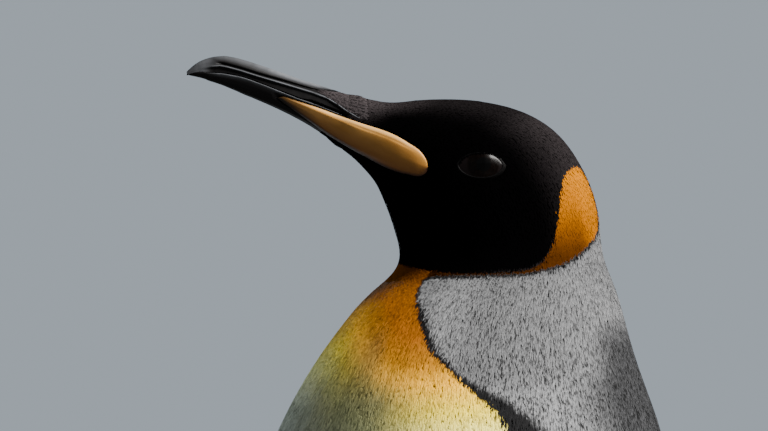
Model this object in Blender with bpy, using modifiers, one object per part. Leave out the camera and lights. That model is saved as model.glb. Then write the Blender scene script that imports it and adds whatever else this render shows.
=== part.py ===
"""A king penguin standing at rest, life size, with its neck drawn in and its bill raised.

Metres, +Z up. The bird faces -Y and its left side is +X. Z = 0 is the floor under its feet.
Trunk, neck and head are three lengths of one loft between a belly line and a back line, and
every other part is seated in them with a gap of 0.3 mm.
"""

from math import cos, pi, radians, sin, sqrt

import bmesh
import bpy
from mathutils import Matrix, Vector
from mathutils.bvhtree import BVHTree

MM = 0.001
GAP = 0.3 * MM
# A cutter's points move a little further than the gap, since its flat facets lie inside its curve.
CUTTER_GROWTH = 1.15 * GAP
SHARP_ANGLE = radians(50)

# Colour and roughness of each material.
MATERIALS = {
    "coat_white": ((0.85, 0.83, 0.76), 0.8),
    "coat_grey": ((0.28, 0.29, 0.31), 0.8),
    "coat_black": ((0.012, 0.011, 0.011), 0.7),
    "bill_black": ((0.02, 0.018, 0.019), 0.4),
    "bill_plate": ((0.72, 0.34, 0.10), 0.3),
    "eye": ((0.012, 0.006, 0.004), 0.08),
    "flipper_slate": ((0.10, 0.11, 0.13), 0.7),
    "tail_black": ((0.03, 0.03, 0.033), 0.7),
    "foot_skin": ((0.03, 0.029, 0.031), 0.6),
    "claw_horn": ((0.02, 0.018, 0.017), 0.4),
}

# Stations of the body, from under the vent to the root of the bill, in mm:
# belly line y, z; back line y, z; half width; roundness (2 is an ellipse, more is squarer).
BODY = {
    "vent": (-28, 34, 50, 36, 30, 2.0),
    "under_belly": (-70, 41, 84, 46, 64, 2.0),
    "ankles": (-101, 66, 105, 77, 87, 2.0),
    "thighs": (-127, 120, 111, 128, 108, 2.05),
    "low_belly": (-141, 190, 115, 196, 120, 2.1),
    "belly": (-147, 268, 119, 272, 125.5, 2.1),
    "waist": (-147, 346, 121, 350, 123, 2.1),
    "breast": (-142, 420, 121, 424, 115, 2.1),
    "crop": (-129.5, 494, 116, 500, 105, 2.1),
    "shoulders": (-111, 552, 106, 558, 93, 2.1),
    "low_neck": (-88.5, 596, 90.5, 604, 76, 2.05),
    "mid_neck": (-61.5, 632, 80.5, 640, 62, 2.0),
    "throat": (-40, 654, 73, 661, 54, 2.0),
    "jowl": (-42.7, 672.5, 71, 684, 48, 2.0),
    "ear": (-49, 689.5, 64, 704.2, 42.5, 2.05),
    "eye": (-54, 699.5, 49.6, 725.2, 38, 2.1),
    "brow": (-60, 706.3, 29.5, 738.0, 34, 2.1),
    "lore": (-64.6, 711, 3, 744.2, 29.5, 2.05),
    "forehead": (-69.4, 714.9, -24, 744.8, 24, 2.0),
    "face": (-74, 718.2, -47, 743.0, 19, 2.0),
    "bill_root": (-78.8, 721.2, -68.3, 747.7, 14.9, 2.0),
}
SPAN_STEPS = 3
BODY_SIDES = 22
LENGTHS = {
    "trunk": ("vent", "shoulders"),
    "neck": ("shoulders", "throat"),
    "head": ("throat", "bill_root"),
}

# Stations of the bill in mm: ridge y, z; cutting edge y, z; keel y, z; half width.
BILL = (
    (-68.6, 747.0, -73.0, 735.6, -78.2, 722.0, 14.2),
    (-81.0, 751.0, -85.5, 740.6, -90.0, 729.6, 11.4),
    (-95.0, 755.2, -98.5, 745.2, -103.0, 736.5, 9.2),
    (-109.5, 760.2, -113.0, 750.8, -115.9, 742.3, 7.4),
    (-124.0, 765.0, -126.5, 755.8, -128.0, 747.2, 6.0),
    (-137.0, 768.0, -138.0, 758.2, -138.5, 751.6, 4.8),
    (-147.5, 766.6, -148.0, 758.8, -148.0, 754.6, 3.6),
    (-154.3, 763.2, -154.2, 758.4, -153.5, 756.2, 2.4),
    (-159.0, 758.8, -158.6, 757.2, -158.0, 756.4, 0.9),
)
BILL_STEPS = 2
BILL_ARC_POINTS = 9
BILL_ROUNDNESS = 1.9
LOWER_BILL_SHARE = 0.94

# The coloured plate along each side of the lower bill, in mm: middle y, z; height; thickness.
PLATE = (
    (-110.0, 745.8, 1.6, 1.6),
    (-107.0, 744.4, 3.4, 2.4),
    (-100.1, 740.9, 5.6, 3.0),
    (-91.2, 736.2, 8.2, 3.8),
    (-82.3, 731.3, 10.7, 4.4),
    (-73.6, 726.5, 13.1, 5.0),
    (-64.9, 722.5, 14.8, 5.4),
    (-56.1, 718.9, 16.2, 5.6),
    (-47.3, 714.6, 15.8, 5.6),
    (-38.6, 710.2, 12.2, 5.0),
    (-33.2, 707.6, 6.0, 3.4),
)
PLATE_STEPS = 2
PLATE_SIDES = 8
# The plate leans as the surface does this share of its height above and below its middle.
PLATE_READ = 0.3
PLATE_SUNK = 0.22

EYE_RADIUS = 14.5 * MM
EYE_PLACE = Vector((0, 0, 709.3)) * MM
EYE_PROUD = 2.7 * MM
EYE_SEGMENTS = 14
EYE_RINGS = 9

# Stations of the left flipper from its root, in mm: x, y, z; chord; thickness; turn about z.
FLIPPER = (
    (82, 10, 534, 50, 27, -4),
    (100, 8, 524, 54, 25, -3),
    (113, 5, 500, 61, 19, -2),
    (123, 2, 460, 69, 14, 0),
    (131, 3, 405, 74, 11, 2),
    (136, 10, 345, 72, 10, 4),
    (141, 21, 287, 62, 9, 6),
    (147, 34, 238, 45, 7.5, 8),
    (151, 44, 208, 24, 6, 10),
    (152, 48, 200, 8, 3.5, 10),
)
FLIPPER_STEPS = 2
FLIPPER_SIDES = 12
# The section is this full at mid chord, more at the front edge and less at the back edge.
FLIPPER_FULLNESS = 0.74
FLIPPER_TAPER = 0.26

# Stations of the tail from inside the rump, in mm: y, z; width; thickness.
TAIL = (
    (78, 126, 60, 34),
    (99, 95, 70, 31),
    (119, 64, 70, 22),
    (137, 37, 62, 13),
    (151, 17, 48, 8),
    (156.5, 9, 32, 5),
)
TAIL_STEPS = 2
TAIL_SIDES = 12
TAIL_ROUNDNESS = 2.6

ANKLE_X = 50 * MM
ANKLE_Y = 8 * MM
ANKLE_TOP = 26 * MM
# Stations of the feathered leg, in mm above the floor: z, half width, half depth, y.
LEG = (
    (26.3, 18, 21, 8),
    (38, 22, 25, 8),
    (56, 26, 30, 5),
    (84, 29, 34, 2),
)
LEG_STEPS = 2
LEG_SIDES = 14

# Toes of the left foot: name, turn from straight ahead, length and root radius.
TOES = (
    ("inner", radians(-17), 80 * MM, 9.0 * MM),
    ("middle", radians(6), 94 * MM, 10.0 * MM),
    ("outer", radians(30), 80 * MM, 9.0 * MM),
)
TOE_HEIGHT = 6.6 * MM
TOE_ROOT_RISE = 2.5 * MM
TOE_TIP_DROP = 1.6 * MM
TOE_TIP_RADIUS = 6.0 * MM
HEEL_RADIUS = 14 * MM
HEEL_OFFSET = Vector((0, 9, 3)) * MM
SHANK_RADIUS = 14.5 * MM
SHANK_OVERRUN = 6 * MM

WEB_THICKNESS = 4.6 * MM
WEB_BELOW = 2 * MM
WEB_REACH = 0.95
WEB_HOLLOW = 0.07
WEB_HOLLOW_ENDS = (0.55, 0.45)
WEB_HEEL = Vector((11, 4, 0)) * MM

CLAW_LENGTH = 20 * MM
CLAW_RADIUS = 4.2 * MM
CLAW_TIP_RADIUS = 0.35 * MM
CLAW_SUNK = 2 * MM
CLAW_RISE = 0.6 * MM
CLAW_DROP = 2.8 * MM
CLAW_ARCH = 1.6 * MM
CLAW_TAPER = 0.25
CLAW_WIDTH_SHARE = 0.8
CLAW_STEPS = 6
CLAW_SIDES = 8

BAR_SIDES = 16
BAR_STEPS = 4
BAR_END_STEPS = 5
BAR_DOME = 0.05
FOOT_VOXEL = 1.6 * MM
FOOT_EASE_ROUNDS = 5
FOOT_EASE = 0.5
FOOT_FACES = 320


def clear_scene():
    """Removes every object of the startup scene."""
    for obj in list(bpy.data.objects):
        bpy.data.objects.remove(obj)


def new_collection(name, hidden=False):
    """A collection in the scene, left out of renders when it holds helpers."""
    made = bpy.data.collections.new(name)
    bpy.context.scene.collection.children.link(made)
    made.hide_render = hidden
    return made


def material(name):
    """A Principled BSDF of one colour, made once."""
    if name in bpy.data.materials:
        return bpy.data.materials[name]
    colour, roughness = MATERIALS[name]
    made = bpy.data.materials.new(name)
    made.use_nodes = True
    shader = made.node_tree.nodes["Principled BSDF"]
    shader.inputs["Base Color"].default_value = (*colour, 1)
    shader.inputs["Roughness"].default_value = roughness
    return made


def between(before, start, end, after, share):
    """The number that share of the way from start to end on a Catmull-Rom curve."""
    slope = end - before
    bend = 2 * before - 5 * start + 4 * end - after
    twist = 3 * start - before - 3 * end + after
    return 0.5 * (2 * start + slope * share + bend * share**2 + twist * share**3)


def smooth_rows(rows, steps):
    """Rows of numbers read along a smooth curve, with steps readings from one row to the next."""
    last = len(rows) - 1
    read = []
    for i in range(last):
        four = rows[max(i - 1, 0)], rows[i], rows[i + 1], rows[min(i + 2, last)]
        for k in range(steps):
            read.append(tuple(between(*column, k / steps) for column in zip(*four)))
    read.append(tuple(rows[last]))
    return read


def neighbours(rows, i):
    """The rows before and after one row, or the row itself at an end."""
    return rows[max(i - 1, 0)], rows[min(i + 1, len(rows) - 1)]


def rounded(value, roundness):
    """A sine or cosine bent towards a squarer section."""
    return abs(value) ** (2 / roundness) * (1 if value >= 0 else -1)


def loft(name, rings, collection, dome=0.0):
    """A closed mesh through rings of equal length. A dome draws each end out by that much."""
    bm = bmesh.new()
    made = [[bm.verts.new(p) for p in ring] for ring in rings]
    for low, high in zip(made, made[1:]):
        for i in range(len(low)):
            j = (i + 1) % len(low)
            bm.faces.new((low[i], low[j], high[j], high[i]))
    for ring, inner in ((made[0], made[1]), (made[-1], made[-2])):
        if not dome:
            bm.faces.new(ring)
            continue
        middle = sum((v.co for v in ring), Vector()) / len(ring)
        outward = (middle - sum((v.co for v in inner), Vector()) / len(inner)).normalized()
        point = bm.verts.new(middle + outward * dome)
        for i in range(len(ring)):
            bm.faces.new((ring[i], ring[(i + 1) % len(ring)], point))
    bmesh.ops.recalc_face_normals(bm, faces=bm.faces)
    mesh = bpy.data.meshes.new(name)
    bm.to_mesh(mesh)
    bm.free()
    return add_object(name, mesh, collection)


def add_object(name, mesh, collection):
    """A smooth-shaded object for a mesh whose points are already in place."""
    mesh.name = name
    made = bpy.data.objects.new(name, mesh)
    collection.objects.link(made)
    mesh.shade_smooth()
    mesh.set_sharp_from_angle(angle=SHARP_ANGLE)
    return made


def settle(obj):
    """Applies an object's modifiers to its mesh."""
    graph = bpy.context.evaluated_depsgraph_get()
    mesh = bpy.data.meshes.new_from_object(obj.evaluated_get(graph))
    obj.modifiers.clear()
    obj.data = mesh
    mesh.name = obj.name


def grown(obj, helpers):
    """A copy of an object, for a cutter, with each point moved out along its normal."""
    bm = bmesh.new()
    bm.from_mesh(obj.data)
    bm.normal_update()
    for vert in bm.verts:
        vert.co += vert.normal * CUTTER_GROWTH
    mesh = bpy.data.meshes.new(obj.name + "_cutter")
    bm.to_mesh(mesh)
    bm.free()
    made = bpy.data.objects.new(mesh.name, mesh)
    helpers.objects.link(made)
    made.hide_render = True
    made.display_type = "WIRE"
    return made


def mirrored(obj, parts):
    """The right-hand twin of a left-hand object."""
    bm = bmesh.new()
    bm.from_mesh(obj.data)
    for vert in bm.verts:
        vert.co.x = -vert.co.x
    bmesh.ops.reverse_faces(bm, faces=bm.faces)
    mesh = bpy.data.meshes.new("twin")
    bm.to_mesh(mesh)
    bm.free()
    return add_object(obj.name.replace("left", "right"), mesh, parts)


def cut(obj, cutter):
    """Takes a closed helper out of an object."""
    tool = obj.modifiers.new("socket", "BOOLEAN")
    tool.operation = "DIFFERENCE"
    tool.solver = "EXACT"
    tool.object = cutter
    settle(obj)


def body_rings():
    """The rings of the whole body, and the number of the ring at each named station."""
    rows = smooth_rows(list(BODY.values()), SPAN_STEPS)
    at = {name: i * SPAN_STEPS for i, name in enumerate(BODY)}
    rings = []
    for belly_y, belly_z, back_y, back_z, half_width, roundness in rows:
        belly, back = Vector((0, belly_y, belly_z)) * MM, Vector((0, back_y, back_z)) * MM
        middle, reach = (belly + back) / 2, (back - belly) / 2
        ring = []
        for k in range(BODY_SIDES):
            turn = 2 * pi * k / BODY_SIDES
            across = half_width * MM * rounded(sin(turn), roundness)
            ring.append(middle + reach * rounded(cos(turn), roundness) + Vector((across, 0, 0)))
        rings.append(ring)
    return rings, at


def shifted(ring, towards, distance):
    """A flat ring moved along its own normal, to the side that the next ring lies on."""
    normal = (ring[1] - ring[0]).cross(ring[len(ring) // 3] - ring[0]).normalized()
    if normal.dot(towards[0] - ring[0]) < 0:
        normal = -normal
    return [p + normal * distance for p in ring]


def make_body(parts):
    """Trunk, neck and head: three lengths of one loft, parted by cuts a gap wide."""
    rings, at = body_rings()
    made = {}
    for name, (start, end) in LENGTHS.items():
        length = rings[at[start] : at[end] + 1]
        if start != "vent":
            length[0] = shifted(length[0], length[1], GAP)
        made[name] = loft(name, length, parts)
    return made


def bill_ring(ridge, edge, half_width, lift):
    """Half of a bill's section: an arc over the cutting edge, closed by the flat between the edges."""
    edge = edge + Vector((0, 0, lift))
    reach = ridge - edge
    ring = []
    for k in range(BILL_ARC_POINTS):
        turn = pi * k / (BILL_ARC_POINTS - 1)
        across = Vector((half_width * cos(turn), 0, 0))
        ring.append(edge + reach * rounded(sin(turn), BILL_ROUNDNESS) + across)
    return ring


def make_bill(parts):
    """The upper and the lower half of the bill, closed on each other."""
    upper, lower = [], []
    rows = smooth_rows(BILL, BILL_STEPS)
    for i, (ridge_y, ridge_z, edge_y, edge_z, keel_y, keel_z, half_width) in enumerate(rows):
        ridge, edge, keel = (
            Vector((0, y, z)) * MM for y, z in ((ridge_y, ridge_z), (edge_y, edge_z), (keel_y, keel_z))
        )
        upper.append(bill_ring(ridge, edge, half_width * MM, GAP / 2))
        if i < len(rows) - 2:
            lower.append(bill_ring(keel, edge, half_width * LOWER_BILL_SHARE * MM, -GAP / 2))
    root_step = (Vector((0, *BILL[1][:2])) - Vector((0, *BILL[0][:2]))).normalized() * GAP
    for half in (upper, lower):
        half[0] = [p + root_step for p in half[0]]
    return loft("bill_upper", upper, parts), loft("bill_lower", lower, parts)


def surface_reader(objects):
    """A function that gives the outermost x of these objects over a point (y, z)."""
    trees = []
    for obj in objects:
        bm = bmesh.new()
        bm.from_mesh(obj.data)
        trees.append(BVHTree.FromBMesh(bm))
        bm.free()

    def outermost(y, z):
        hits = [tree.ray_cast(Vector((1, y, z)), Vector((-1, 0, 0)))[0] for tree in trees]
        return max(hit.x for hit in hits if hit is not None)

    return outermost


def make_plate(outermost, parts):
    """The long raised plate on the left of the lower bill, partly sunk in it and in the cheek."""
    rows = [tuple(v * MM for v in row) for row in smooth_rows(PLATE, PLATE_STEPS)]
    rings = []
    for i, (y, z, height, thickness) in enumerate(rows):
        before, after = neighbours(rows, i)
        along = Vector((0, after[0] - before[0], after[1] - before[1])).normalized()
        up = Vector((0, -along.z, along.y))
        if up.z < 0:
            up = -up
        high, low = (Vector((0, y, z)) + up * height * share for share in (PLATE_READ, -PLATE_READ))
        high.x, low.x = outermost(high.y, high.z), outermost(low.y, low.z)
        rise = (high - low) / (2 * PLATE_READ)
        out = rise.cross(along).normalized()
        if out.x < 0:
            out = -out
        middle = Vector((outermost(y, z), y, z)) - out * thickness * PLATE_SUNK
        ring = []
        for k in range(PLATE_SIDES):
            turn = 2 * pi * k / PLATE_SIDES
            ring.append(middle + rise / 2 * sin(turn) + out * thickness / 2 * cos(turn))
        rings.append(ring)
    return loft("plate_left", rings, parts)


def make_eye(outermost, parts):
    """The left eyeball, standing a little proud of the head."""
    place = EYE_PLACE.copy()
    place.x = outermost(place.y, place.z) + EYE_PROUD - EYE_RADIUS
    turned = Matrix.Translation(place) @ Matrix.Rotation(pi / 2, 4, "Y")
    bm = bmesh.new()
    bmesh.ops.create_uvsphere(
        bm, u_segments=EYE_SEGMENTS, v_segments=EYE_RINGS, radius=EYE_RADIUS, matrix=turned
    )
    mesh = bpy.data.meshes.new("eye")
    bm.to_mesh(mesh)
    bm.free()
    return add_object("eye_left", mesh, parts)


def make_flipper(parts):
    """The left flipper: blunt in front, thin along its back edge, hanging by the flank."""
    rows = smooth_rows(FLIPPER, FLIPPER_STEPS)
    rings = []
    for i, (x, y, z, chord, thickness, turn) in enumerate(rows):
        before, after = neighbours(rows, i)
        along = (Vector(after[:3]) - Vector(before[:3])).normalized()
        chord_way = Matrix.Rotation(radians(-turn), 3, "Z") @ Vector((0, 1, 0))
        thick_way = chord_way.cross(along).normalized()
        ring = []
        for k in range(FLIPPER_SIDES):
            angle = 2 * pi * k / FLIPPER_SIDES
            fullness = FLIPPER_FULLNESS - FLIPPER_TAPER * cos(angle)
            point = Vector((x, y, z)) + chord_way * chord / 2 * cos(angle)
            point += thick_way * thickness / 2 * sin(angle) * fullness
            ring.append(point * MM)
        rings.append(ring)
    return loft("flipper_left", rings, parts)


def make_tail(parts):
    """The short stiff tail, a wedge that narrows to the floor."""
    rows = smooth_rows(TAIL, TAIL_STEPS)
    rings = []
    for i, (y, z, width, thickness) in enumerate(rows):
        before, after = neighbours(rows, i)
        along = Vector((0, after[0] - before[0], after[1] - before[1])).normalized()
        back = Vector((0, -along.z, along.y))
        ring = []
        for k in range(TAIL_SIDES):
            angle = 2 * pi * k / TAIL_SIDES
            across = Vector((width / 2 * rounded(cos(angle), TAIL_ROUNDNESS), 0, 0))
            ring.append((Vector((0, y, z)) + across + back * thickness / 2 * sin(angle)) * MM)
        rings.append(ring)
    return loft("tail", rings, parts)


def make_leg(parts):
    """The left feathered shank, between the belly and the foot."""
    rings = []
    for z, half_width, half_depth, y in smooth_rows(LEG, LEG_STEPS):
        ring = []
        for k in range(LEG_SIDES):
            angle = 2 * pi * k / LEG_SIDES
            offset = Vector((half_width * cos(angle), half_depth * sin(angle) + y, z)) * MM
            ring.append(offset + Vector((ANKLE_X, 0, 0)))
        rings.append(ring)
    return loft("leg_left", rings, parts)


def toe_way(turn):
    """The level direction of a toe. A positive turn is away from the other foot."""
    return Vector((sin(turn), -cos(turn), 0))


def round_bar(start, end, start_radius, end_radius, helpers):
    """A tapered bar with round ends, for the foot to be merged from."""
    along = (end - start).normalized()
    across = along.cross(Vector((0, 0, 1))).normalized()
    up = across.cross(along)
    length = (end - start).length
    quarter = [pi / 2 * k / BAR_END_STEPS for k in range(1, BAR_END_STEPS)]
    shares = [k / BAR_STEPS for k in range(BAR_STEPS + 1)]
    stops = [(-cos(t) * start_radius, sin(t) * start_radius) for t in quarter]
    stops += [(length * share, start_radius + (end_radius - start_radius) * share) for share in shares]
    stops += [(length + sin(t) * end_radius, cos(t) * end_radius) for t in quarter]
    turns = [2 * pi * k / BAR_SIDES for k in range(BAR_SIDES)]
    rings = []
    for reach, radius in stops:
        middle = start + along * reach
        rings.append([middle + (across * cos(turn) + up * sin(turn)) * radius for turn in turns])
    return loft("bar", rings, helpers, dome=min(start_radius, end_radius) * BAR_DOME)


def make_web(ankle, helpers):
    """The web of the left foot: a thin sheet scalloped between the toes' ends."""
    tips = [ankle + toe_way(turn) * length * WEB_REACH for _, turn, length, _ in TOES]
    outline = [ankle + Vector((-WEB_HEEL.x, WEB_HEEL.y, 0)), tips[0]]
    for first, second in zip(tips, tips[1:]):
        middle = (first + second) / 2
        hollow = middle.lerp(ankle, WEB_HOLLOW)
        before, after = WEB_HOLLOW_ENDS
        outline += [first.lerp(hollow, before), hollow, hollow.lerp(second, after), second]
    outline.append(ankle + WEB_HEEL)
    low = [Vector((p.x, p.y, -WEB_BELOW)) for p in outline]
    high = [Vector((p.x, p.y, WEB_THICKNESS)) for p in outline]
    bm = bmesh.new()
    rings = [[bm.verts.new(p) for p in ring] for ring in (low, high)]
    for i in range(len(outline)):
        j = (i + 1) % len(outline)
        bm.faces.new((rings[0][i], rings[0][j], rings[1][j], rings[1][i]))
    bm.faces.new(rings[0])
    bm.faces.new(rings[1])
    bmesh.ops.triangulate(bm, faces=[f for f in bm.faces if len(f.verts) > 4])
    bmesh.ops.recalc_face_normals(bm, faces=bm.faces)
    mesh = bpy.data.meshes.new("web")
    bm.to_mesh(mesh)
    bm.free()
    return add_object("web", mesh, helpers)


def merged(name, pieces, parts):
    """One skin over several overlapping closed pieces, eased and then thinned."""
    bm = bmesh.new()
    for piece in pieces:
        bm.from_mesh(piece.data)
        bpy.data.objects.remove(piece)
    mesh = bpy.data.meshes.new(name)
    bm.to_mesh(mesh)
    bm.free()
    made = add_object(name, mesh, parts)
    tool = made.modifiers.new("merge", "REMESH")
    tool.mode = "VOXEL"
    tool.voxel_size = FOOT_VOXEL
    tool = made.modifiers.new("ease", "SMOOTH")
    tool.iterations = FOOT_EASE_ROUNDS
    tool.factor = FOOT_EASE
    settle(made)
    tool = made.modifiers.new("thin", "DECIMATE")
    tool.ratio = min(1.0, FOOT_FACES / (2 * len(made.data.polygons)))
    settle(made)
    return made


def slice_flat(obj, height, keep_above=True):
    """Cuts an object level at a height and closes the cut with a flat face."""
    bm = bmesh.new()
    bm.from_mesh(obj.data)
    sliced = bmesh.ops.bisect_plane(
        bm,
        geom=bm.verts[:] + bm.edges[:] + bm.faces[:],
        plane_co=(0, 0, height),
        plane_no=(0, 0, 1),
        clear_inner=keep_above,
        clear_outer=not keep_above,
    )
    rim = [e for e in sliced["geom_cut"] if isinstance(e, bmesh.types.BMEdge)]
    bmesh.ops.edgeloop_fill(bm, edges=rim)
    bmesh.ops.recalc_face_normals(bm, faces=bm.faces)
    bm.to_mesh(obj.data)
    bm.free()


def make_foot(parts, helpers):
    """The left webbed foot on a flat sole, with the bare shank up to the feathers."""
    ankle = Vector((ANKLE_X, ANKLE_Y, TOE_HEIGHT))
    pieces = [make_web(ankle, helpers)]
    for _, turn, length, radius in TOES:
        start = ankle + Vector((0, 0, TOE_ROOT_RISE))
        end = ankle + toe_way(turn) * length - Vector((0, 0, TOE_TIP_DROP))
        pieces.append(round_bar(start, end, radius, TOE_TIP_RADIUS, helpers))
    shank_top = Vector((ANKLE_X, ANKLE_Y, ANKLE_TOP + SHANK_OVERRUN))
    pieces.append(round_bar(ankle + HEEL_OFFSET, shank_top, HEEL_RADIUS, SHANK_RADIUS, helpers))
    foot = merged("foot_left", pieces, parts)
    slice_flat(foot, 0)
    slice_flat(foot, ANKLE_TOP, keep_above=False)
    return foot


def make_claw(name, turn, length, parts):
    """One claw of the left foot, a curved cone that grows out of its toe."""
    way = toe_way(turn)
    across = way.cross(Vector((0, 0, 1)))
    start = Vector((ANKLE_X, ANKLE_Y, TOE_HEIGHT + CLAW_RISE)) + way * (length - CLAW_SUNK)
    rings = []
    for k in range(CLAW_STEPS + 1):
        part = k / CLAW_STEPS
        drop = CLAW_DROP * part**2 - CLAW_ARCH * sin(pi * part)
        middle = start + way * CLAW_LENGTH * part - Vector((0, 0, drop))
        radius = CLAW_RADIUS * sqrt(1 - part) * (1 - CLAW_TAPER * part) + CLAW_TIP_RADIUS
        ring = []
        for i in range(CLAW_SIDES):
            angle = 2 * pi * i / CLAW_SIDES
            sideways = across * radius * CLAW_WIDTH_SHARE * cos(angle)
            ring.append(middle + sideways + Vector((0, 0, radius * sin(angle))))
        rings.append(ring)
    return loft(f"claw_left_{name}", rings, parts)


def main():
    clear_scene()
    parts = new_collection("king_penguin")
    helpers = new_collection("helpers", hidden=True)

    body = make_body(parts)
    bill_upper, bill_lower = make_bill(parts)
    outermost = surface_reader([body["head"], bill_lower])
    plate = make_plate(outermost, parts)
    eye = make_eye(outermost, parts)
    flipper = make_flipper(parts)
    leg = make_leg(parts)
    foot = make_foot(parts, helpers)
    claws = [make_claw(name, turn, length, parts) for name, turn, length, _ in TOES]
    for claw in claws:
        cut(foot, grown(claw, helpers))
    tail = make_tail(parts)

    for obj, slot in (
        (body["trunk"], "coat_white"),
        (body["neck"], "coat_grey"),
        (body["head"], "coat_black"),
        (bill_upper, "bill_black"),
        (bill_lower, "bill_black"),
        (tail, "tail_black"),
    ):
        obj.data.materials.append(material(slot))
    seats = {
        plate: (body["head"], bill_lower),
        eye: (body["head"],),
        flipper: (body["trunk"],),
        leg: (body["trunk"],),
    }
    slots = {
        plate: "bill_plate",
        eye: "eye",
        flipper: "flipper_slate",
        leg: "coat_white",
        foot: "foot_skin",
    }
    slots.update({claw: "claw_horn" for claw in claws})
    for left, slot in slots.items():
        for one in (left, mirrored(left, parts)):
            one.data.materials.append(material(slot))
            for seat in seats.get(left, ()):
                cut(seat, grown(one, helpers))
    cut(body["trunk"], grown(tail, helpers))


main()
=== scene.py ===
"""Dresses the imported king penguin: one skin under a coat of small feathers, and horn, eyes and feet.

The skin is remeshed from the frame's own flesh and lies inside it by the depth of the coat.
Every feather is a thin closed vane whose root sits on the skin and whose tip lies towards the tail.
"""

from math import cos, pi, radians, sin

import bmesh
import bpy
import numpy as np
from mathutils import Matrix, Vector
from mathutils.bvhtree import BVHTree


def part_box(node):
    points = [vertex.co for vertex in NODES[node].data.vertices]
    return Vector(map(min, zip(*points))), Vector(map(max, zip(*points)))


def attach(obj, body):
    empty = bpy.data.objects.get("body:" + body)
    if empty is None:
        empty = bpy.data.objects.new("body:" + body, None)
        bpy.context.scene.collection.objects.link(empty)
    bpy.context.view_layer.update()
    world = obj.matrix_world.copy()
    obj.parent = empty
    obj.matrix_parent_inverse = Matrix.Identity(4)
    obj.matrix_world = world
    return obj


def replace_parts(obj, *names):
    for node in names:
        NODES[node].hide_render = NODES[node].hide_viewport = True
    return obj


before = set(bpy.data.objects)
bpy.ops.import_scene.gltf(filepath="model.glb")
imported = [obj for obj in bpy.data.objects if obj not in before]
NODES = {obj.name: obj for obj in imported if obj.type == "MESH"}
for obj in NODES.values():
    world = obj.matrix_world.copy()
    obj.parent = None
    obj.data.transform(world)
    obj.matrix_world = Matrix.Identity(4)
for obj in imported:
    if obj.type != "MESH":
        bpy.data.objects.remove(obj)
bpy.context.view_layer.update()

MM = 0.001
rng = np.random.default_rng(7)

SIDES = {"left": 1, "right": -1}
BODY_NODES = ("trunk", "neck", "head")
FLESH = [*BODY_NODES, "tail", *(f"{part}_{side}" for part in ("flipper", "leg") for side in SIDES)]
SKIN_VOXEL, FOOT_VOXEL, CLAW_VOXEL = 3 * MM, 1.2 * MM, 0.45 * MM

# Stations of the body, from under the vent to the root of the bill, in mm:
# belly line y, z; back line y, z; half width. The solids are lofted through the same ones.
STATIONS = np.array(
    (
        (-28, 34, 50, 36, 30),
        (-70, 41, 84, 46, 64),
        (-101, 66, 105, 77, 87),
        (-127, 120, 111, 128, 108),
        (-141, 190, 115, 196, 120),
        (-147, 268, 119, 272, 125.5),
        (-147, 346, 121, 350, 123),
        (-142, 420, 121, 424, 115),
        (-129.5, 494, 116, 500, 105),
        (-111, 552, 106, 558, 93),
        (-88.5, 596, 90.5, 604, 76),
        (-61.5, 632, 80.5, 640, 62),
        (-40, 654, 73, 661, 54),
        (-42.7, 672.5, 71, 684, 48),
        (-49, 689.5, 64, 704.2, 42.5),
        (-54, 699.5, 49.6, 725.2, 38),
        (-60, 706.3, 29.5, 738, 34),
        (-64.6, 711, 3, 744.2, 29.5),
        (-69.4, 714.9, -24, 744.8, 24),
        (-74, 718.2, -47, 743, 19),
        (-78.8, 721.2, -68.3, 747.7, 14.9),
    )
)
STATION_STEPS = 6
# The stations and turns at which the coat is cut into pieces.
FACE_FROM, HEAD_FROM, NECK_FROM, TRUNK_MIDDLE = 14.2, 11.6, 8.6, 4.5
NECK_FRONT, NECK_REAR, BACK_FROM = 64, 118, 95

# Depth of the coat in mm at stations along the body.
COAT_DEPTH = ((0, 8.2, 9.2, 10, 12, 14, 17, 20), (1.8, 1.6, 1.0, 0.85, 0.7, 0.6, 0.5, 0.45))
FLIPPER_DEPTH = 0.7 * MM
LEG_DEPTH = 1.4 * MM
TAIL_DEPTH = 1.2 * MM

# Edges of the markings. Turns are degrees round the body, from the belly line to the back line.
# Front and rear edge of the black border, as station to turn.
BORDER_FRONT = (
    (0, 2, 4, 6, 8, 9.16, 9.43, 9.54, 9.68, 9.89, 10.07, 10.25, 10.47, 10.75, 11.06, 11.48, 11.6),
    (104, 98, 93, 92, 92.5, 90.5, 87.2, 83.6, 79.5, 72.8, 67.5, 61.6, 56.6, 50.3, 43.4, 37.4, 38.5),
)
BORDER_REAR = (
    (0, 2, 4, 6, 8, 9.15, 9.41, 9.57, 9.71, 9.88, 10.03, 10.24, 10.59, 10.85, 11.06, 11.45, 11.6),
    (119, 107, 100, 99, 102, 104, 97.2, 91.2, 84.4, 77.3, 72.1, 65.3, 58.4, 52.2, 45.6, 39.6, 41.5),
)
# Lower edge of the black hood and upper edge of the orange patch, as turn to station.
HOOD_EDGE = (
    (0, 10, 34, 55, 70, 83, 94, 100, 107, 112.6, 116.5)
    + (121, 129, 137, 145, 153, 158, 161, 162.7, 163.6, 165, 180),
    (12.02, 11.96, 11.88, 11.78, 11.73, 11.72, 11.75, 11.88, 12.16, 12.6, 13.02)
    + (13.42, 13.93, 14.12, 14.19, 14.2, 14.13, 13.98, 13.8, 13.3, 12.75, 12.6),
)
# Lower edge of the orange patch and of the strip that runs from it to the throat.
PATCH_EDGE = (
    (0, 30, 41, 57, 71, 81, 92, 105, 114, 126, 142, 158, 162, 164, 180),
    (11.62, 11.63, 11.65, 11.635, 11.605, 11.59, 11.59, 11.68, 11.78, 11.98, 12.27, 12.54, 12.72, 13, 13),
)
# The turn at which the patch's strip begins beside the throat.
PATCH_START = 38

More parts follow.
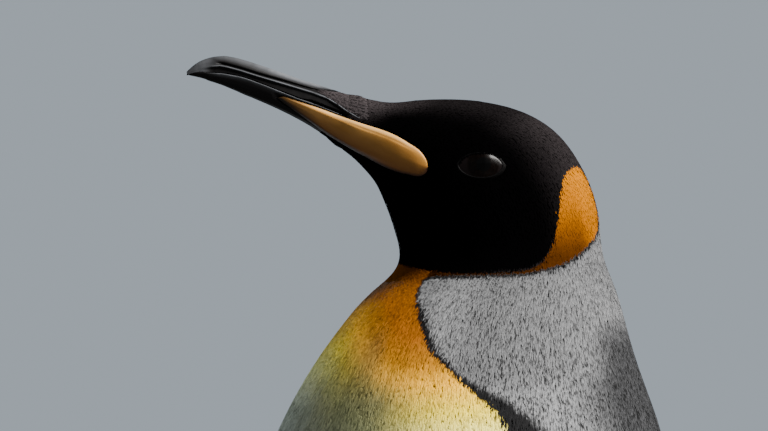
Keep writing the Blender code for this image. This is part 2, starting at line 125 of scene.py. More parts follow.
# Where the feathers end on the bill, in mm: y and z of the lower edge of the wedge beside the ridge.
WEDGE_LOW = (
    (-88.5, -82.8, -76.8, -72.4, -66.5, -61.6, -52, -44),
    (748.4, 745.2, 741.4, 738, 734.2, 731, 727, 722),
)
# The wedge's upper edge, and the front edge of the chin's feathers as z and y.
WEDGE_HIGH = ((-88.5, -83, -78.5, -72.4, -68, -60), (749.6, 748.9, 748.4, 747.8, 748.6, 752))
CHIN_EDGE = ((722, 728, 735, 741), (-88, -84, -78, -72))

# The opening between the lids, in mm from the middle of the eye: y, z, half width, half height.
LID_MIDDLE = (-3.4, -1.1)
LID_HALF = (12.2, 6.6)


# ---------------------------------------------------------------- numbers and meshes


def soft_step(value, low, high):
    """0 below low, 1 above high and smooth between."""
    share = np.clip((value - low) / (high - low), 0, 1)
    return share * share * (3 - 2 * share)


def unit(vectors):
    """Vectors brought to length 1."""
    length = np.linalg.norm(vectors, axis=-1, keepdims=True)
    return vectors / np.maximum(length, 1e-12)


def smooth_rows(rows, steps):
    """Rows of numbers read along a Catmull-Rom curve, with steps readings to the next row."""
    ends = np.vstack([rows[:1], rows, rows[-1:]])
    share = np.linspace(0, 1, steps, endpoint=False)[None, :, None]
    p, q, r, s = (ends[i : len(ends) - 3 + i, None, :] for i in range(4))
    bend = (2 * p - 5 * q + 4 * r - s) * share**2 + (3 * q - p - 3 * r + s) * share**3
    read = 0.5 * (2 * q + (r - p) * share + bend)
    return np.vstack([read.reshape(-1, rows.shape[1]), rows[-1:]])


ROWS = smooth_rows(STATIONS, STATION_STEPS) * MM


def mesh_arrays(mesh):
    """The points, point normals and triangles of a mesh."""
    mesh.calc_loop_triangles()
    points = np.empty(len(mesh.vertices) * 3)
    normals = np.empty(len(mesh.vertices) * 3)
    triangles = np.empty(len(mesh.loop_triangles) * 3, np.int32)
    mesh.vertices.foreach_get("co", points)
    mesh.vertices.foreach_get("normal", normals)
    mesh.loop_triangles.foreach_get("vertices", triangles)
    return points.reshape(-1, 3), normals.reshape(-1, 3), triangles.reshape(-1, 3)


def move_points(obj, points):
    """Puts an object's points somewhere else."""
    obj.data.vertices.foreach_set("co", points.ravel())
    obj.data.update()


def link(name, mesh):
    """An object in the scene for a finished mesh, shaded smooth."""
    mesh.name = name
    made = bpy.data.objects.new(name, mesh)
    bpy.context.scene.collection.objects.link(made)
    mesh.shade_smooth()
    return made


def mesh_object(name, points, faces):
    """An object from arrays of points and of faces with equally many corners."""
    mesh = bpy.data.meshes.new(name)
    mesh.vertices.add(len(points))
    mesh.vertices.foreach_set("co", np.ascontiguousarray(points, np.float32).ravel())
    mesh.loops.add(faces.size)
    mesh.loops.foreach_set("vertex_index", np.ascontiguousarray(faces, np.int32).ravel())
    mesh.polygons.add(len(faces))
    mesh.polygons.foreach_set("loop_start", np.arange(0, faces.size, faces.shape[1], dtype=np.int32))
    mesh.update(calc_edges=True)
    mesh.validate()
    return link(name, mesh)


def put_values(obj, name, values):
    """One number at each point of a mesh, for its material to read."""
    layer = obj.data.attributes.new(name, "FLOAT", "POINT")
    layer.data.foreach_set("value", np.ascontiguousarray(values, np.float32))


def dress(piece, material, slot, *replaced):
    """Gives a piece its material, ties it to the bird and hides the nodes it stands for. The slot is not
    used.
    """
    piece.data.materials.append(material)
    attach(piece, "root")
    if replaced:
        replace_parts(piece, *replaced)


def settle(obj):
    """Applies an object's modifiers."""
    graph = bpy.context.evaluated_depsgraph_get()
    mesh = bpy.data.meshes.new_from_object(obj.evaluated_get(graph))
    obj.modifiers.clear()
    obj.data = mesh
    mesh.name = obj.name


def joined(name, sources):
    """One new object with copies of the meshes of some nodes of the frame."""
    bm = bmesh.new()
    for source in sources:
        bm.from_mesh(NODES[source].data)
    mesh = bpy.data.meshes.new(name)
    bm.to_mesh(mesh)
    bm.free()
    return link(name, mesh)


def keep_largest(obj):
    """Deletes all but the largest connected part of a mesh."""
    bm = bmesh.new()
    bm.from_mesh(obj.data)
    left = set(bm.verts)
    parts = []
    while left:
        grown, edge = set(), [left.pop()]
        while edge:
            vert = edge.pop()
            grown.add(vert)
            for line in vert.link_edges:
                other = line.other_vert(vert)
                if other in left:
                    left.discard(other)
                    edge.append(other)
        parts.append(grown)
    parts.sort(key=len)
    for small in parts[:-1]:
        bmesh.ops.delete(bm, geom=list(small), context="VERTS")
    bm.to_mesh(obj.data)
    bm.free()


def refined(name, sources, voxel, rounds, strength=0.5):
    """Nodes of the frame as one smooth, evenly meshed surface."""
    made = joined(name, sources)
    tool = made.modifiers.new("even", "REMESH")
    tool.mode = "VOXEL"
    tool.voxel_size = voxel
    tool = made.modifiers.new("ease", "SMOOTH")
    tool.iterations = rounds
    tool.factor = strength
    settle(made)
    keep_largest(made)
    made.data.shade_smooth()
    return made


def tree_of(obj):
    """A search tree over a mesh."""
    points, _, triangles = mesh_arrays(obj.data)
    return BVHTree.FromPolygons(points.tolist(), triangles.tolist())


# ---------------------------------------------------------------- places on the body


def body_place(points):
    """The station number and the turn in degrees of each point on trunk, neck and head."""
    belly, back = ROWS[:, 0:2], ROWS[:, 2:4]
    chord = back - belly
    headward = unit(np.stack([-chord[:, 1], chord[:, 0]], 1))
    flat = points[:, 1:]
    number = np.full(len(points), -1.0)
    below = (flat - belly[0]) @ headward[0]
    number[below < 0] = 0
    for i in range(len(ROWS) - 1):
        above = (flat - belly[i + 1]) @ headward[i + 1]
        here = (number < 0) & (below >= 0) & (above < 0)
        number[here] = i + below[here] / (below[here] - above[here])
        below = above
    number[number < 0] = len(ROWS) - 1
    row = rows_at(number)
    middle, reach = middle_of(row)
    upward = ((flat - middle) * reach).sum(1) / (reach**2).sum(1)
    turn = np.degrees(np.arctan2(np.abs(points[:, 0]) / row[:, 4], -upward))
    return number / STATION_STEPS, turn


def rows_at(number):
    """The body's row at fractional row numbers."""
    low = np.clip(np.floor(number).astype(int), 0, len(ROWS) - 2)
    share = (number - low)[:, None]
    return ROWS[low] * (1 - share) + ROWS[low + 1] * share


def middle_of(row):
    """The middle of the body at its rows, and the way from there to the back line."""
    return (row[:, 0:2] + row[:, 2:4]) / 2, (row[:, 2:4] - row[:, 0:2]) / 2


def body_points(station, turn, side):
    """Points of the body's surface at a station number and turn, near enough to read directions."""
    row = rows_at(np.clip(station, 0, len(STATIONS) - 1) * STATION_STEPS)
    angle = np.radians(turn)[:, None]
    middle, reach = middle_of(row)
    flat = middle - reach * np.cos(angle)
    across = row[:, 4:5] * np.sin(angle) * side[:, None]
    return np.hstack([across, flat])


def body_lie(station, turn, side):
    """The way that feathers lie on the body: along it, towards the tail."""
    step = 0.35
    return unit(body_points(station - step, turn, side) - body_points(station + step, turn, side))


class Flipper:
    """Places on one flipper, read from its node: share of its length, of its chord, and its lie."""

    def __init__(self, side):
        points, _, _ = mesh_arrays(NODES[f"flipper_{side}"].data)
        self.side = SIDES[side]
        self.low, self.high = points[:, 2].min(), points[:, 2].max()
        self.levels = np.linspace(self.low, self.high, 24)
        tables = []
        for level in self.levels:
            near = points[np.argsort(np.abs(points[:, 2] - level))[:16]]
            tables.append((near[:, 0].mean(), near[:, 1].min(), near[:, 1].max()))
        self.tables = np.array(tables).T

    def read(self, height):
        """How far out the flipper hangs at a height, and where its front and rear edges are."""
        return (np.interp(height, self.levels, table) for table in self.tables)

    def place(self, points):
        """Share of the way to the tip, and share of the way from the front to the rear edge."""
        height = points[:, 2]
        _, front, rear = self.read(height)
        return (self.high - height) / (self.high - self.low), (points[:, 1] - front) / (rear - front)

    def lie(self, points):
        """Down the flipper, leaning to its rear edge."""
        height = points[:, 2]
        ahead = height - 12 * MM
        path = []
        for level in (height, ahead):
            across, front, rear = self.read(level)
            path.append(np.stack([across, (front + rear) / 2, level], 1))
        way = unit(path[1] - path[0])
        way[:, 1] += 0.22
        return unit(way)


def body_marks(station, turn, scatter=None):
    """Gaps to the edges of hood, patch and border, above 0 inside them, and the tones between them.

    The gaps are in stations for hood and patch and in degrees for the border. Scatter holds one random
    number in station and one in turn for each point, so that feathers stray a little from the edges.
    """
    if scatter is not None:
        station = station + scatter[0]
        turn = turn + scatter[1]
    hood = np.interp(turn, *HOOD_EDGE) - 0.075 * soft_step(turn, 20, 40) * soft_step(110 - turn, 0, 8)
    sharp = 1 + 1.6 * soft_step(station, 9.7, 10.2)
    # Slate shows most along the back, less on the sides, and least low down on the sides, where the paler
    # grey is painted sheen.
    low = soft_step(9.95 - station, 0, 0.5) * (1 - soft_step(turn, 110, 122))
    dull = 0.48 * soft_step(turn, 60, 80) * (1 - 0.75 * low)
    start = 106 - 7 * soft_step(10 - station, 0, 0.4)
    back = 0.95 * soft_step((turn - start) / 36, 0, 1) * soft_step(11.1 - station, 0, 1.0)
    # The hood carries painted sheen, palest on its crown and over the lores.
    behind = 1 - 0.62 * soft_step(station, 15.4, 16.4) * (1 - soft_step(station, 17.6, 18.4))
    crown = 0.40 * soft_step(turn, 102, 152) * behind
    crown = crown + (0.75 * soft_step(turn, 70, 130) - crown * 0.5) * soft_step(station, 18.4, 20)
    # The breast is less warm near the belly line. Low down beside the belly line it carries painted shade, a
    # band of dark grey-green.
    shy = 0.23 + 0.03 * soft_step(station, 10.4, 11.0)
    shy = shy * (1 - soft_step(turn, 6, 58)) * soft_step(11.9 - station, 0, 1.0)
    band = soft_step(turn, 14, 26) * soft_step(48 - turn, 0, 12)
    top = 10.25 + 0.65 * band - 0.012 * np.maximum(turn - 40, 0)
    breast_painted_shade = soft_step(76 - turn, 0, 30) * soft_step(top - station, 0, 0.6 + 0.8 * band)
    breast_painted_shade = breast_painted_shade * (0.70 + 0.30 * soft_step(turn, 20, 38)) * soft_step(station, 7.2, 9.0)
    breast_painted_shade = breast_painted_shade * (1 - 0.75 * soft_step(station, 9.4, 9.9) * soft_step(22 - turn, 0, 12))
    return {
        "hood_gap": station - hood,
        "patch_gap": station - np.interp(turn, *PATCH_EDGE),
        "front_gap": turn - np.interp(station, *BORDER_FRONT),
        "rear_gap": (turn - np.interp(station, *BORDER_REAR) + 0.5) * sharp,
        "throat_gap": PATCH_START - turn,
        "strip": soft_step(turn, 42, 55) * (1 - soft_step(turn, 80, 108)),
        "warmth": np.clip((station - 8.0) / 4.0 - shy, 0, 1),
        # The rise carries painted shade on the orange patch: darker low down, paler at its top and towards
        # its rear edge.
        "rise": np.clip((station - 11.4) / 2.8 + 0.28 * soft_step(turn, 130, 148), 0, 1),
        "nape": np.where(station > hood, crown, np.maximum(dull, back)),
        "black": np.zeros(len(station)),
        "breast_painted_shade": breast_painted_shade,
    }


def flipper_marks(share, chord, outward):
    """Slate outside with black edges, white inside with a dark front edge and tip."""
    outer = soft_step(outward, -0.25, 0.25)
    front = 1 - soft_step(chord, 0.09, 0.16)
    rear = soft_step(chord, 0.88, 0.94)
    tip = soft_step(share, 0.88, 0.95)
    marks = plain_marks(len(share))
    inside = np.clip(front + tip + rear, 0, 1) * (1 - outer)
    marks["black"] = np.clip(np.clip(front + tip * 0.8 + rear * 0.6, 0, 1) * outer + inside, 0, 1)
    marks["rear_gap"] = (outer - 0.5) * 20
    marks["front_gap"] = marks["rear_gap"]
    marks["nape"] = outer * 0.62
    return marks


def plain_marks(count, black=0.0):
    """The marks of white, or black, feathers."""
    marks = {name: np.zeros(count) for name in EDGES + TONES}
    for name in EDGES:
        marks[name] -= 20
    marks["black"] += black
    return marks


EDGES = ("hood_gap", "patch_gap", "front_gap", "rear_gap", "throat_gap")
TONES = ("strip", "warmth", "rise", "nape", "black", "breast_painted_shade")
FLIPPERS = {side: Flipper(side) for side in SIDES}


# ---------------------------------------------------------------- skin

REGIONS = ("body", "flipper_left", "flipper_right", "leg_left", "leg_right", "tail")
# How far outside a part's box a point of the skin may still belong to it.
REGION_MARGIN = 4 * MM


def region_of(points, body):
    """The number in REGIONS of the flesh that each point belongs to."""
    trees = [tree_of(body)] + [tree_of(NODES[name]) for name in REGIONS[1:]]
    number = np.zeros(len(points), int)
    boxes = [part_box(name) for name in REGIONS[1:]]
    for i, place in enumerate(points):
        best = None
        for k, tree in enumerate(trees):
            if k:
                low, high = boxes[k - 1]
                gaps = (max(low[a] - place[a], place[a] - high[a]) for a in range(3))
                if any(gap > REGION_MARGIN for gap in gaps):
                    continue
            distance = tree.find_nearest(place)[3]
            if best is None or distance < best:
                best, number[i] = distance, k
    return number


def skin_marks(points, normals, region):
    """The markings at points of the skin, whichever part of the bird they are on."""
    station, turn = body_place(points)
    marks = body_marks(station, turn)
    for k, name in enumerate(REGIONS):
        here = region == k
        if name.startswith("flipper"):
            flipper = FLIPPERS[name.split("_")[1]]
            share, chord = flipper.place(points[here])
            own = flipper_marks(share, chord, normals[here, 0] * flipper.side)
        elif name.startswith("leg"):
            own = plain_marks(here.sum())
            own["black"] = soft_step(points[here, 1], 0.012, 0.024)
        elif name == "tail":
            own = plain_marks(here.sum(), black=1.0)
        else:
            continue
        for key, values in own.items():
            marks[key][here] = values
    return marks


def coat_depth(region, station):
    """How far the skin lies inside the bird's outer shape."""
    depth = np.interp(station, *COAT_DEPTH) * MM
    depth[(region == 1) | (region == 2)] = FLIPPER_DEPTH
    depth[(region == 3) | (region == 4)] = LEG_DEPTH
    depth[region == 5] = TAIL_DEPTH
    return depth


# How many flat sides the solid body has, and the turns at which they meet.
BODY_SIDES = 22
SIDE_TURNS = (0, 16.6, 33, 49, 65.2, 81.5, 98.5, 114.8, 131, 147, 163.4, 180)


def roundness(station, turn):
    """How far a round body would stand out over the flat sides of the solid one."""
    row = rows_at(station * STATION_STEPS)
    radius = (row[:, 4] + np.linalg.norm(row[:, 2:4] - row[:, 0:2], axis=1) / 2) / 2
    place = np.interp(turn, SIDE_TURNS, np.arange(len(SIDE_TURNS))) % 1 * 2 - 1
    kept = soft_step(station, 0.8, 2.0) * soft_step(12.4 - station, 0, 1.4)
    return radius * (1 - cos(pi / BODY_SIDES)) * (1 - place**2) * kept


def make_skin():
    """One skin over trunk, neck, head, flippers, legs and tail, and the region of each of its points."""
    filling = [f"{part}_{side}" for part in ("plate", "eye") for side in SIDES]
    skin = refined("skin", FLESH + filling, SKIN_VOXEL, 6)
    guide = joined("body_guide", BODY_NODES)
    points, normals, _ = mesh_arrays(skin.data)
    region = region_of(points, guide)
    bpy.data.objects.remove(guide)
    station, turn = body_place(points)
    depth = coat_depth(region, station)
    depth = depth - np.minimum(roundness(station, turn), depth * 0.85) * (region == 0)
    move_points(skin, points - normals * depth[:, None])
    marks = skin_marks(points, normals, region)
    for key, value in (("reach", 0.7), ("across", 0.0), ("own", 0.5)):
        marks[key] = np.full(len(points), value)
    for key, values in marks.items():
        put_values(skin, key, values)
    return skin, region


# ---------------------------------------------------------------- feathers


class Vane:
    """The pattern of one feather: rows of left, ridge and right points between a root and a tip.

    Each row is its share of the length, its share of the width and its share of the coat's depth.
    The underside is closed, so that a feather is a thin solid.
    """

    def __init__(self, rows, tip_lift, arch):
        self.share, self.side, self.lift, self.ridge = [0.0], [0.0], [-0.15], [0.0]
        for share, width, lift in rows:
            self.share += [share] * 3
            self.side += [-width, 0.0, width]
            self.lift += [lift] * 3
            self.ridge += [0.0, arch, 0.0]
        self.share.append(1.0)
        self.side.append(0.0)
        self.lift.append(tip_lift)
        self.ridge.append(0.0)
        self.share, self.side, self.lift, self.ridge = map(
            np.array, (self.share, self.side, self.lift, self.ridge)
        )
        self.faces = self.make_faces(len(rows))

    @staticmethod
    def make_faces(count):
        tip = 1 + 3 * count
        faces = [(0, 1, 2), (0, 2, 3), (0, 3, 1)]
        for k in range(count - 1):
            left, ridge, right = (1 + 3 * k + i for i in range(3))
            faces += [(left, left + 3, ridge + 3), (left, ridge + 3, ridge)]
            faces += [(ridge, ridge + 3, right + 3), (ridge, right + 3, right)]
            faces += [(left, right, right + 3), (left, right + 3, left + 3)]
        left, ridge, right = tip - 3, tip - 2, tip - 1
        faces += [(left, tip, ridge), (ridge, tip, right), (left, right, tip)]
        return np.array(faces)


SHORT_VANE = Vane(((0.5, 1.0, 0.90),), tip_lift=0.99, arch=0.08)
SLEEK_VANE = Vane(((0.5, 1.0, 0.93),), tip_lift=0.98, arch=0.05)
LONG_VANE = Vane(((0.28, 0.75, 0.65), (0.7, 1.0, 0.93)), tip_lift=0.98, arch=0.10)
STIFF_VANE = Vane(
    ((0.15, 0.8, 0.4), (0.45, 1.0, 0.8), (0.75, 0.95, 1.0), (0.93, 0.6, 1.0)), tip_lift=1.0, arch=0.10
)
# How far a feather's length, width and depth stray from what they should be, as shares.
SIZES_STRAY = ((0.82, 1.18), (0.85, 1.15), (0.90, 1.05))
# How many feathers lie over one another where no station says it, and the width of the cells that hold
# one root each, as a share of the roots' mean distance.
LAYERS = 4.6
CELL_SHARE = 1.2
# A feather's patch on the unwrap.
PATCH_WIDTH, PATCH_LENGTH = 0.0024, 0.0028


def grown_roots(surface, wanted, density):
    """Random roots on some triangles of a surface, so many per square metre, none in one cell twice.

    The surface is its points, normals and triangles. The roots come with their normals and triangles.
    """
    points, normals, triangles = surface
    corners = points[triangles]
    crossed = np.cross(corners[:, 1] - corners[:, 0], corners[:, 2] - corners[:, 0])
    area = np.linalg.norm(crossed, axis=1) / 2 * wanted
    weight = area * density
    count = int(weight.sum() * 3)
    if count == 0:
        return np.zeros((0, 3)), np.zeros((0, 3)), np.zeros(0, int)
    chosen = rng.choice(len(triangles), count, p=weight / weight.sum())
    first, second = rng.random(count), rng.random(count)
    over = first + second > 1
    first[over], second[over] = 1 - first[over], 1 - second[over]
    shares = np.stack([1 - first - second, first, second], 1)[:, :, None]
    roots = (points[triangles[chosen]] * shares).sum(1)
    ways = unit((normals[triangles[chosen]] * shares).sum(1))
    room = (CELL_SHARE / np.sqrt(density[chosen]))[:, None]
    cells = np.floor(roots / room).astype(np.int64)
    keys = (cells[:, 0] * 73856093) ^ (cells[:, 1] * 19349663) ^ (cells[:, 2] * 83492791)
    _, kept = np.unique(keys, return_index=True)
    return roots[kept], ways[kept], chosen[kept]


def feather_coat(name, vane, root, normal, lie, size, marks, flat_place, material, slot, spread):
    """One joined mesh of feathers. Size holds each feather's length, width and coat depth.

    Marks are one set of numbers for each feather, or a function that reads them at every point. Spread
    is how many degrees the feathers stray from their lie.
    """
    count = len(root)
    flat = unit(lie - normal * (lie * normal).sum(1, keepdims=True))
    sideways = np.cross(normal, flat)
    swing = np.radians(rng.normal(0, spread, count))[:, None]
    flat, sideways = (
        flat * np.cos(swing) + sideways * np.sin(swing),
        sideways * np.cos(swing) - flat * np.sin(swing),
    )
    roll = np.radians(rng.normal(0, 5, count))[:, None]
    tilted = sideways * np.cos(roll) + normal * np.sin(roll)
    length, width, depth = (size[:, k] * rng.uniform(*limits, count) for k, limits in enumerate(SIZES_STRAY))
    points = root[:, None, :] + flat[:, None, :] * (length[:, None] * vane.share)[:, :, None]
    points += tilted[:, None, :] * (width[:, None] / 2 * vane.side)[:, :, None]
    rise = depth[:, None] * vane.lift + width[:, None] * vane.ridge
    points += normal[:, None, :] * rise[:, :, None]
    corners = len(vane.share)
    faces = vane.faces[None] + (np.arange(count) * corners)[:, None, None]
    made = mesh_object(name, points.reshape(-1, 3), faces.reshape(-1, 3))
    made.data.shade_flat()
    if callable(marks):
        read = marks(points.reshape(-1, 3), corners)
    else:
        read = {key: np.repeat(values, corners) for key, values in marks.items()}
    read["reach"], read["across"] = np.tile(vane.share, count), np.tile(vane.side, count)
    read["own"] = np.repeat(rng.random(count), corners)
    for key, values in read.items():
        put_values(made, key, values)
    patch = np.stack([vane.side * PATCH_WIDTH / 2, (vane.share - 0.5) * PATCH_LENGTH], 1)
    spots = flat_place[:, None, :] + patch[None]
    layer = made.data.uv_layers.new(name="OFBake")
    layer.data.foreach_set("uv", spots.reshape(-1, 2)[faces.ravel()].astype(np.float32).ravel())
    dress(made, material, slot)
    return made


def fitted(values, low=0.02, high=0.98):
    """Values brought into a range, for one axis of an unwrap."""
    span = max(values.max() - values.min(), 1e-9)
    return low + (values - values.min()) / span * (high - low)


# ---------------------------------------------------------------- materials


class Nodes:
    """Short words for building a node tree."""

    def __init__(self, tree):
        self.tree = tree

    def add(self, kind, **settings):
        node = self.tree.nodes.new(kind)
        for key, value in settings.items():
            setattr(node, key, value)
        return node

    def join(self, source, target):
        """Links a socket, or sets a number or colour, on another node's input."""
        if isinstance(source, bpy.types.NodeSocket):
            self.tree.links.new(source, target)
        elif isinstance(source, tuple) and len(source) == 3:
            target.default_value = (*source, 1)
        else:
            target.default_value = source

    def math(self, operation, first, second=0.0, clamp=False):
        node = self.add("ShaderNodeMath", operation=operation, use_clamp=clamp)
        self.join(first, node.inputs[0])
        self.join(second, node.inputs[1])
        return node.outputs[0]

    def times(self, *values):
        """The product of some values."""
        product = values[0]
        for value in values[1:]:
            product = self.math("MULTIPLY", product, value)
        return product

    def plus(self, first, second, clamp=False):
        return self.math("ADD", first, second, clamp)

    def without(self, value):
        """1 less a value."""
        return self.math("SUBTRACT", 1.0, value)

    def mix(self, share, first, second, way="MIX"):
        node = self.add("ShaderNodeMix", data_type="RGBA", blend_type=way)
        self.join(share, node.inputs["Factor"])
        self.join(first, node.inputs["A"])
        self.join(second, node.inputs["B"])
        return node.outputs["Result"]

    def ramp(self, share, stops):
        """A colour for each value, through stops of a place and a colour."""
        node = self.add("ShaderNodeValToRGB")
        marks = node.color_ramp.elements
        while len(marks) < len(stops):
            marks.new(0.5)
        for mark, (place, colour) in zip(marks, stops):
            mark.position = place
            mark.color = (*colour, 1)
        self.join(share, node.inputs[0])
        return node.outputs["Color"]

    def spread(self, value, low, high, new_low=0.0, new_high=1.0, kind="LINEAR"):
        """A value moved from one range to another, held at its ends."""
        node = self.add("ShaderNodeMapRange", interpolation_type=kind)
        names = ("Value", "From Min", "From Max", "To Min", "To Max")
        for source, name in zip((value, low, high, new_low, new_high), names):
            self.join(source, node.inputs[name])
        return node.outputs["Result"]

    def inside(self, gap, softness):
        """1 where a gap is above 0, 0 below it, smooth over the softness on both sides."""
        return self.spread(gap, -softness, softness, kind="SMOOTHSTEP")

    def noise(self, scale, detail=2.0, roughness=0.5, stretch=(1, 1, 1), tilt=0.0):
        """Noise in the object's own coordinates, so many waves a metre, tilted about the X axis."""
        place = self.add("ShaderNodeTexCoord").outputs["Object"]
        mapping = self.add("ShaderNodeMapping")
        mapping.inputs["Rotation"].default_value = (radians(tilt), 0, 0)
        mapping.inputs["Scale"].default_value = stretch
        self.join(place, mapping.inputs["Vector"])
        node = self.add("ShaderNodeTexNoise")
        self.join(mapping.outputs[0], node.inputs["Vector"])
        node.inputs["Scale"].default_value = scale
        node.inputs["Detail"].default_value = detail
        node.inputs["Roughness"].default_value = roughness
        return node.outputs["Fac"]

    def attribute(self, name):
        return self.add("ShaderNodeAttribute", attribute_name=name).outputs["Fac"]


def node_group(name, *inputs):
    """An empty node group with named inputs that makes a colour, a roughness and a height."""
    tree = bpy.data.node_groups.new(name, "ShaderNodeTree")
    kinds = {"value": "NodeSocketFloat", "colour": "NodeSocketColor"}
    outputs = (("colour", "colour"), ("roughness", "value"), ("height", "value"))
    for way, sockets in (("INPUT", inputs), ("OUTPUT", outputs)):
        for socket, kind in sockets:
            tree.interface.new_socket(name=socket, in_out=way, socket_type=kinds[kind])
    nodes = Nodes(tree)
    return tree, nodes, nodes.add("NodeGroupInput").outputs, nodes.add("NodeGroupOutput").inputs


def new_material(name, roughness, **settings):
    """A material with one Principled BSDF, its plain values set on the shader's own sockets."""
    made = bpy.data.materials.new(name)
    made.use_nodes = True
    nodes = Nodes(made.node_tree)
    shader = made.node_tree.nodes["Principled BSDF"]
    shader.inputs["Roughness"].default_value = roughness
    for key, value in settings.items():
        socket = shader.inputs[key.replace("_", " ").title().replace("Ior", "IOR")]
        socket.default_value = (*value, 1) if isinstance(value, tuple) else value
    return made, nodes, shader


def finish(nodes, shader, colour, roughness=None, height=None, strength=0.0, distance=0.0):
    """Feeds a colour, a roughness and a height to a shader."""
    nodes.join(colour, shader.inputs["Base Color"])
    if roughness is not None:
        nodes.join(roughness, shader.inputs["Roughness"])
    if height is not None:
        node = nodes.add("ShaderNodeBump")
        node.inputs["Strength"].default_value = strength
        node.inputs["Distance"].default_value = distance
        nodes.join(height, node.inputs["Height"])
        nodes.join(node.outputs[0], shader.inputs["Normal"])


MARKS = (*EDGES, *TONES, "reach", "across", "own")


def grey_of(value):
    """A colour with the same value in all its channels."""
    return (value, value, value)


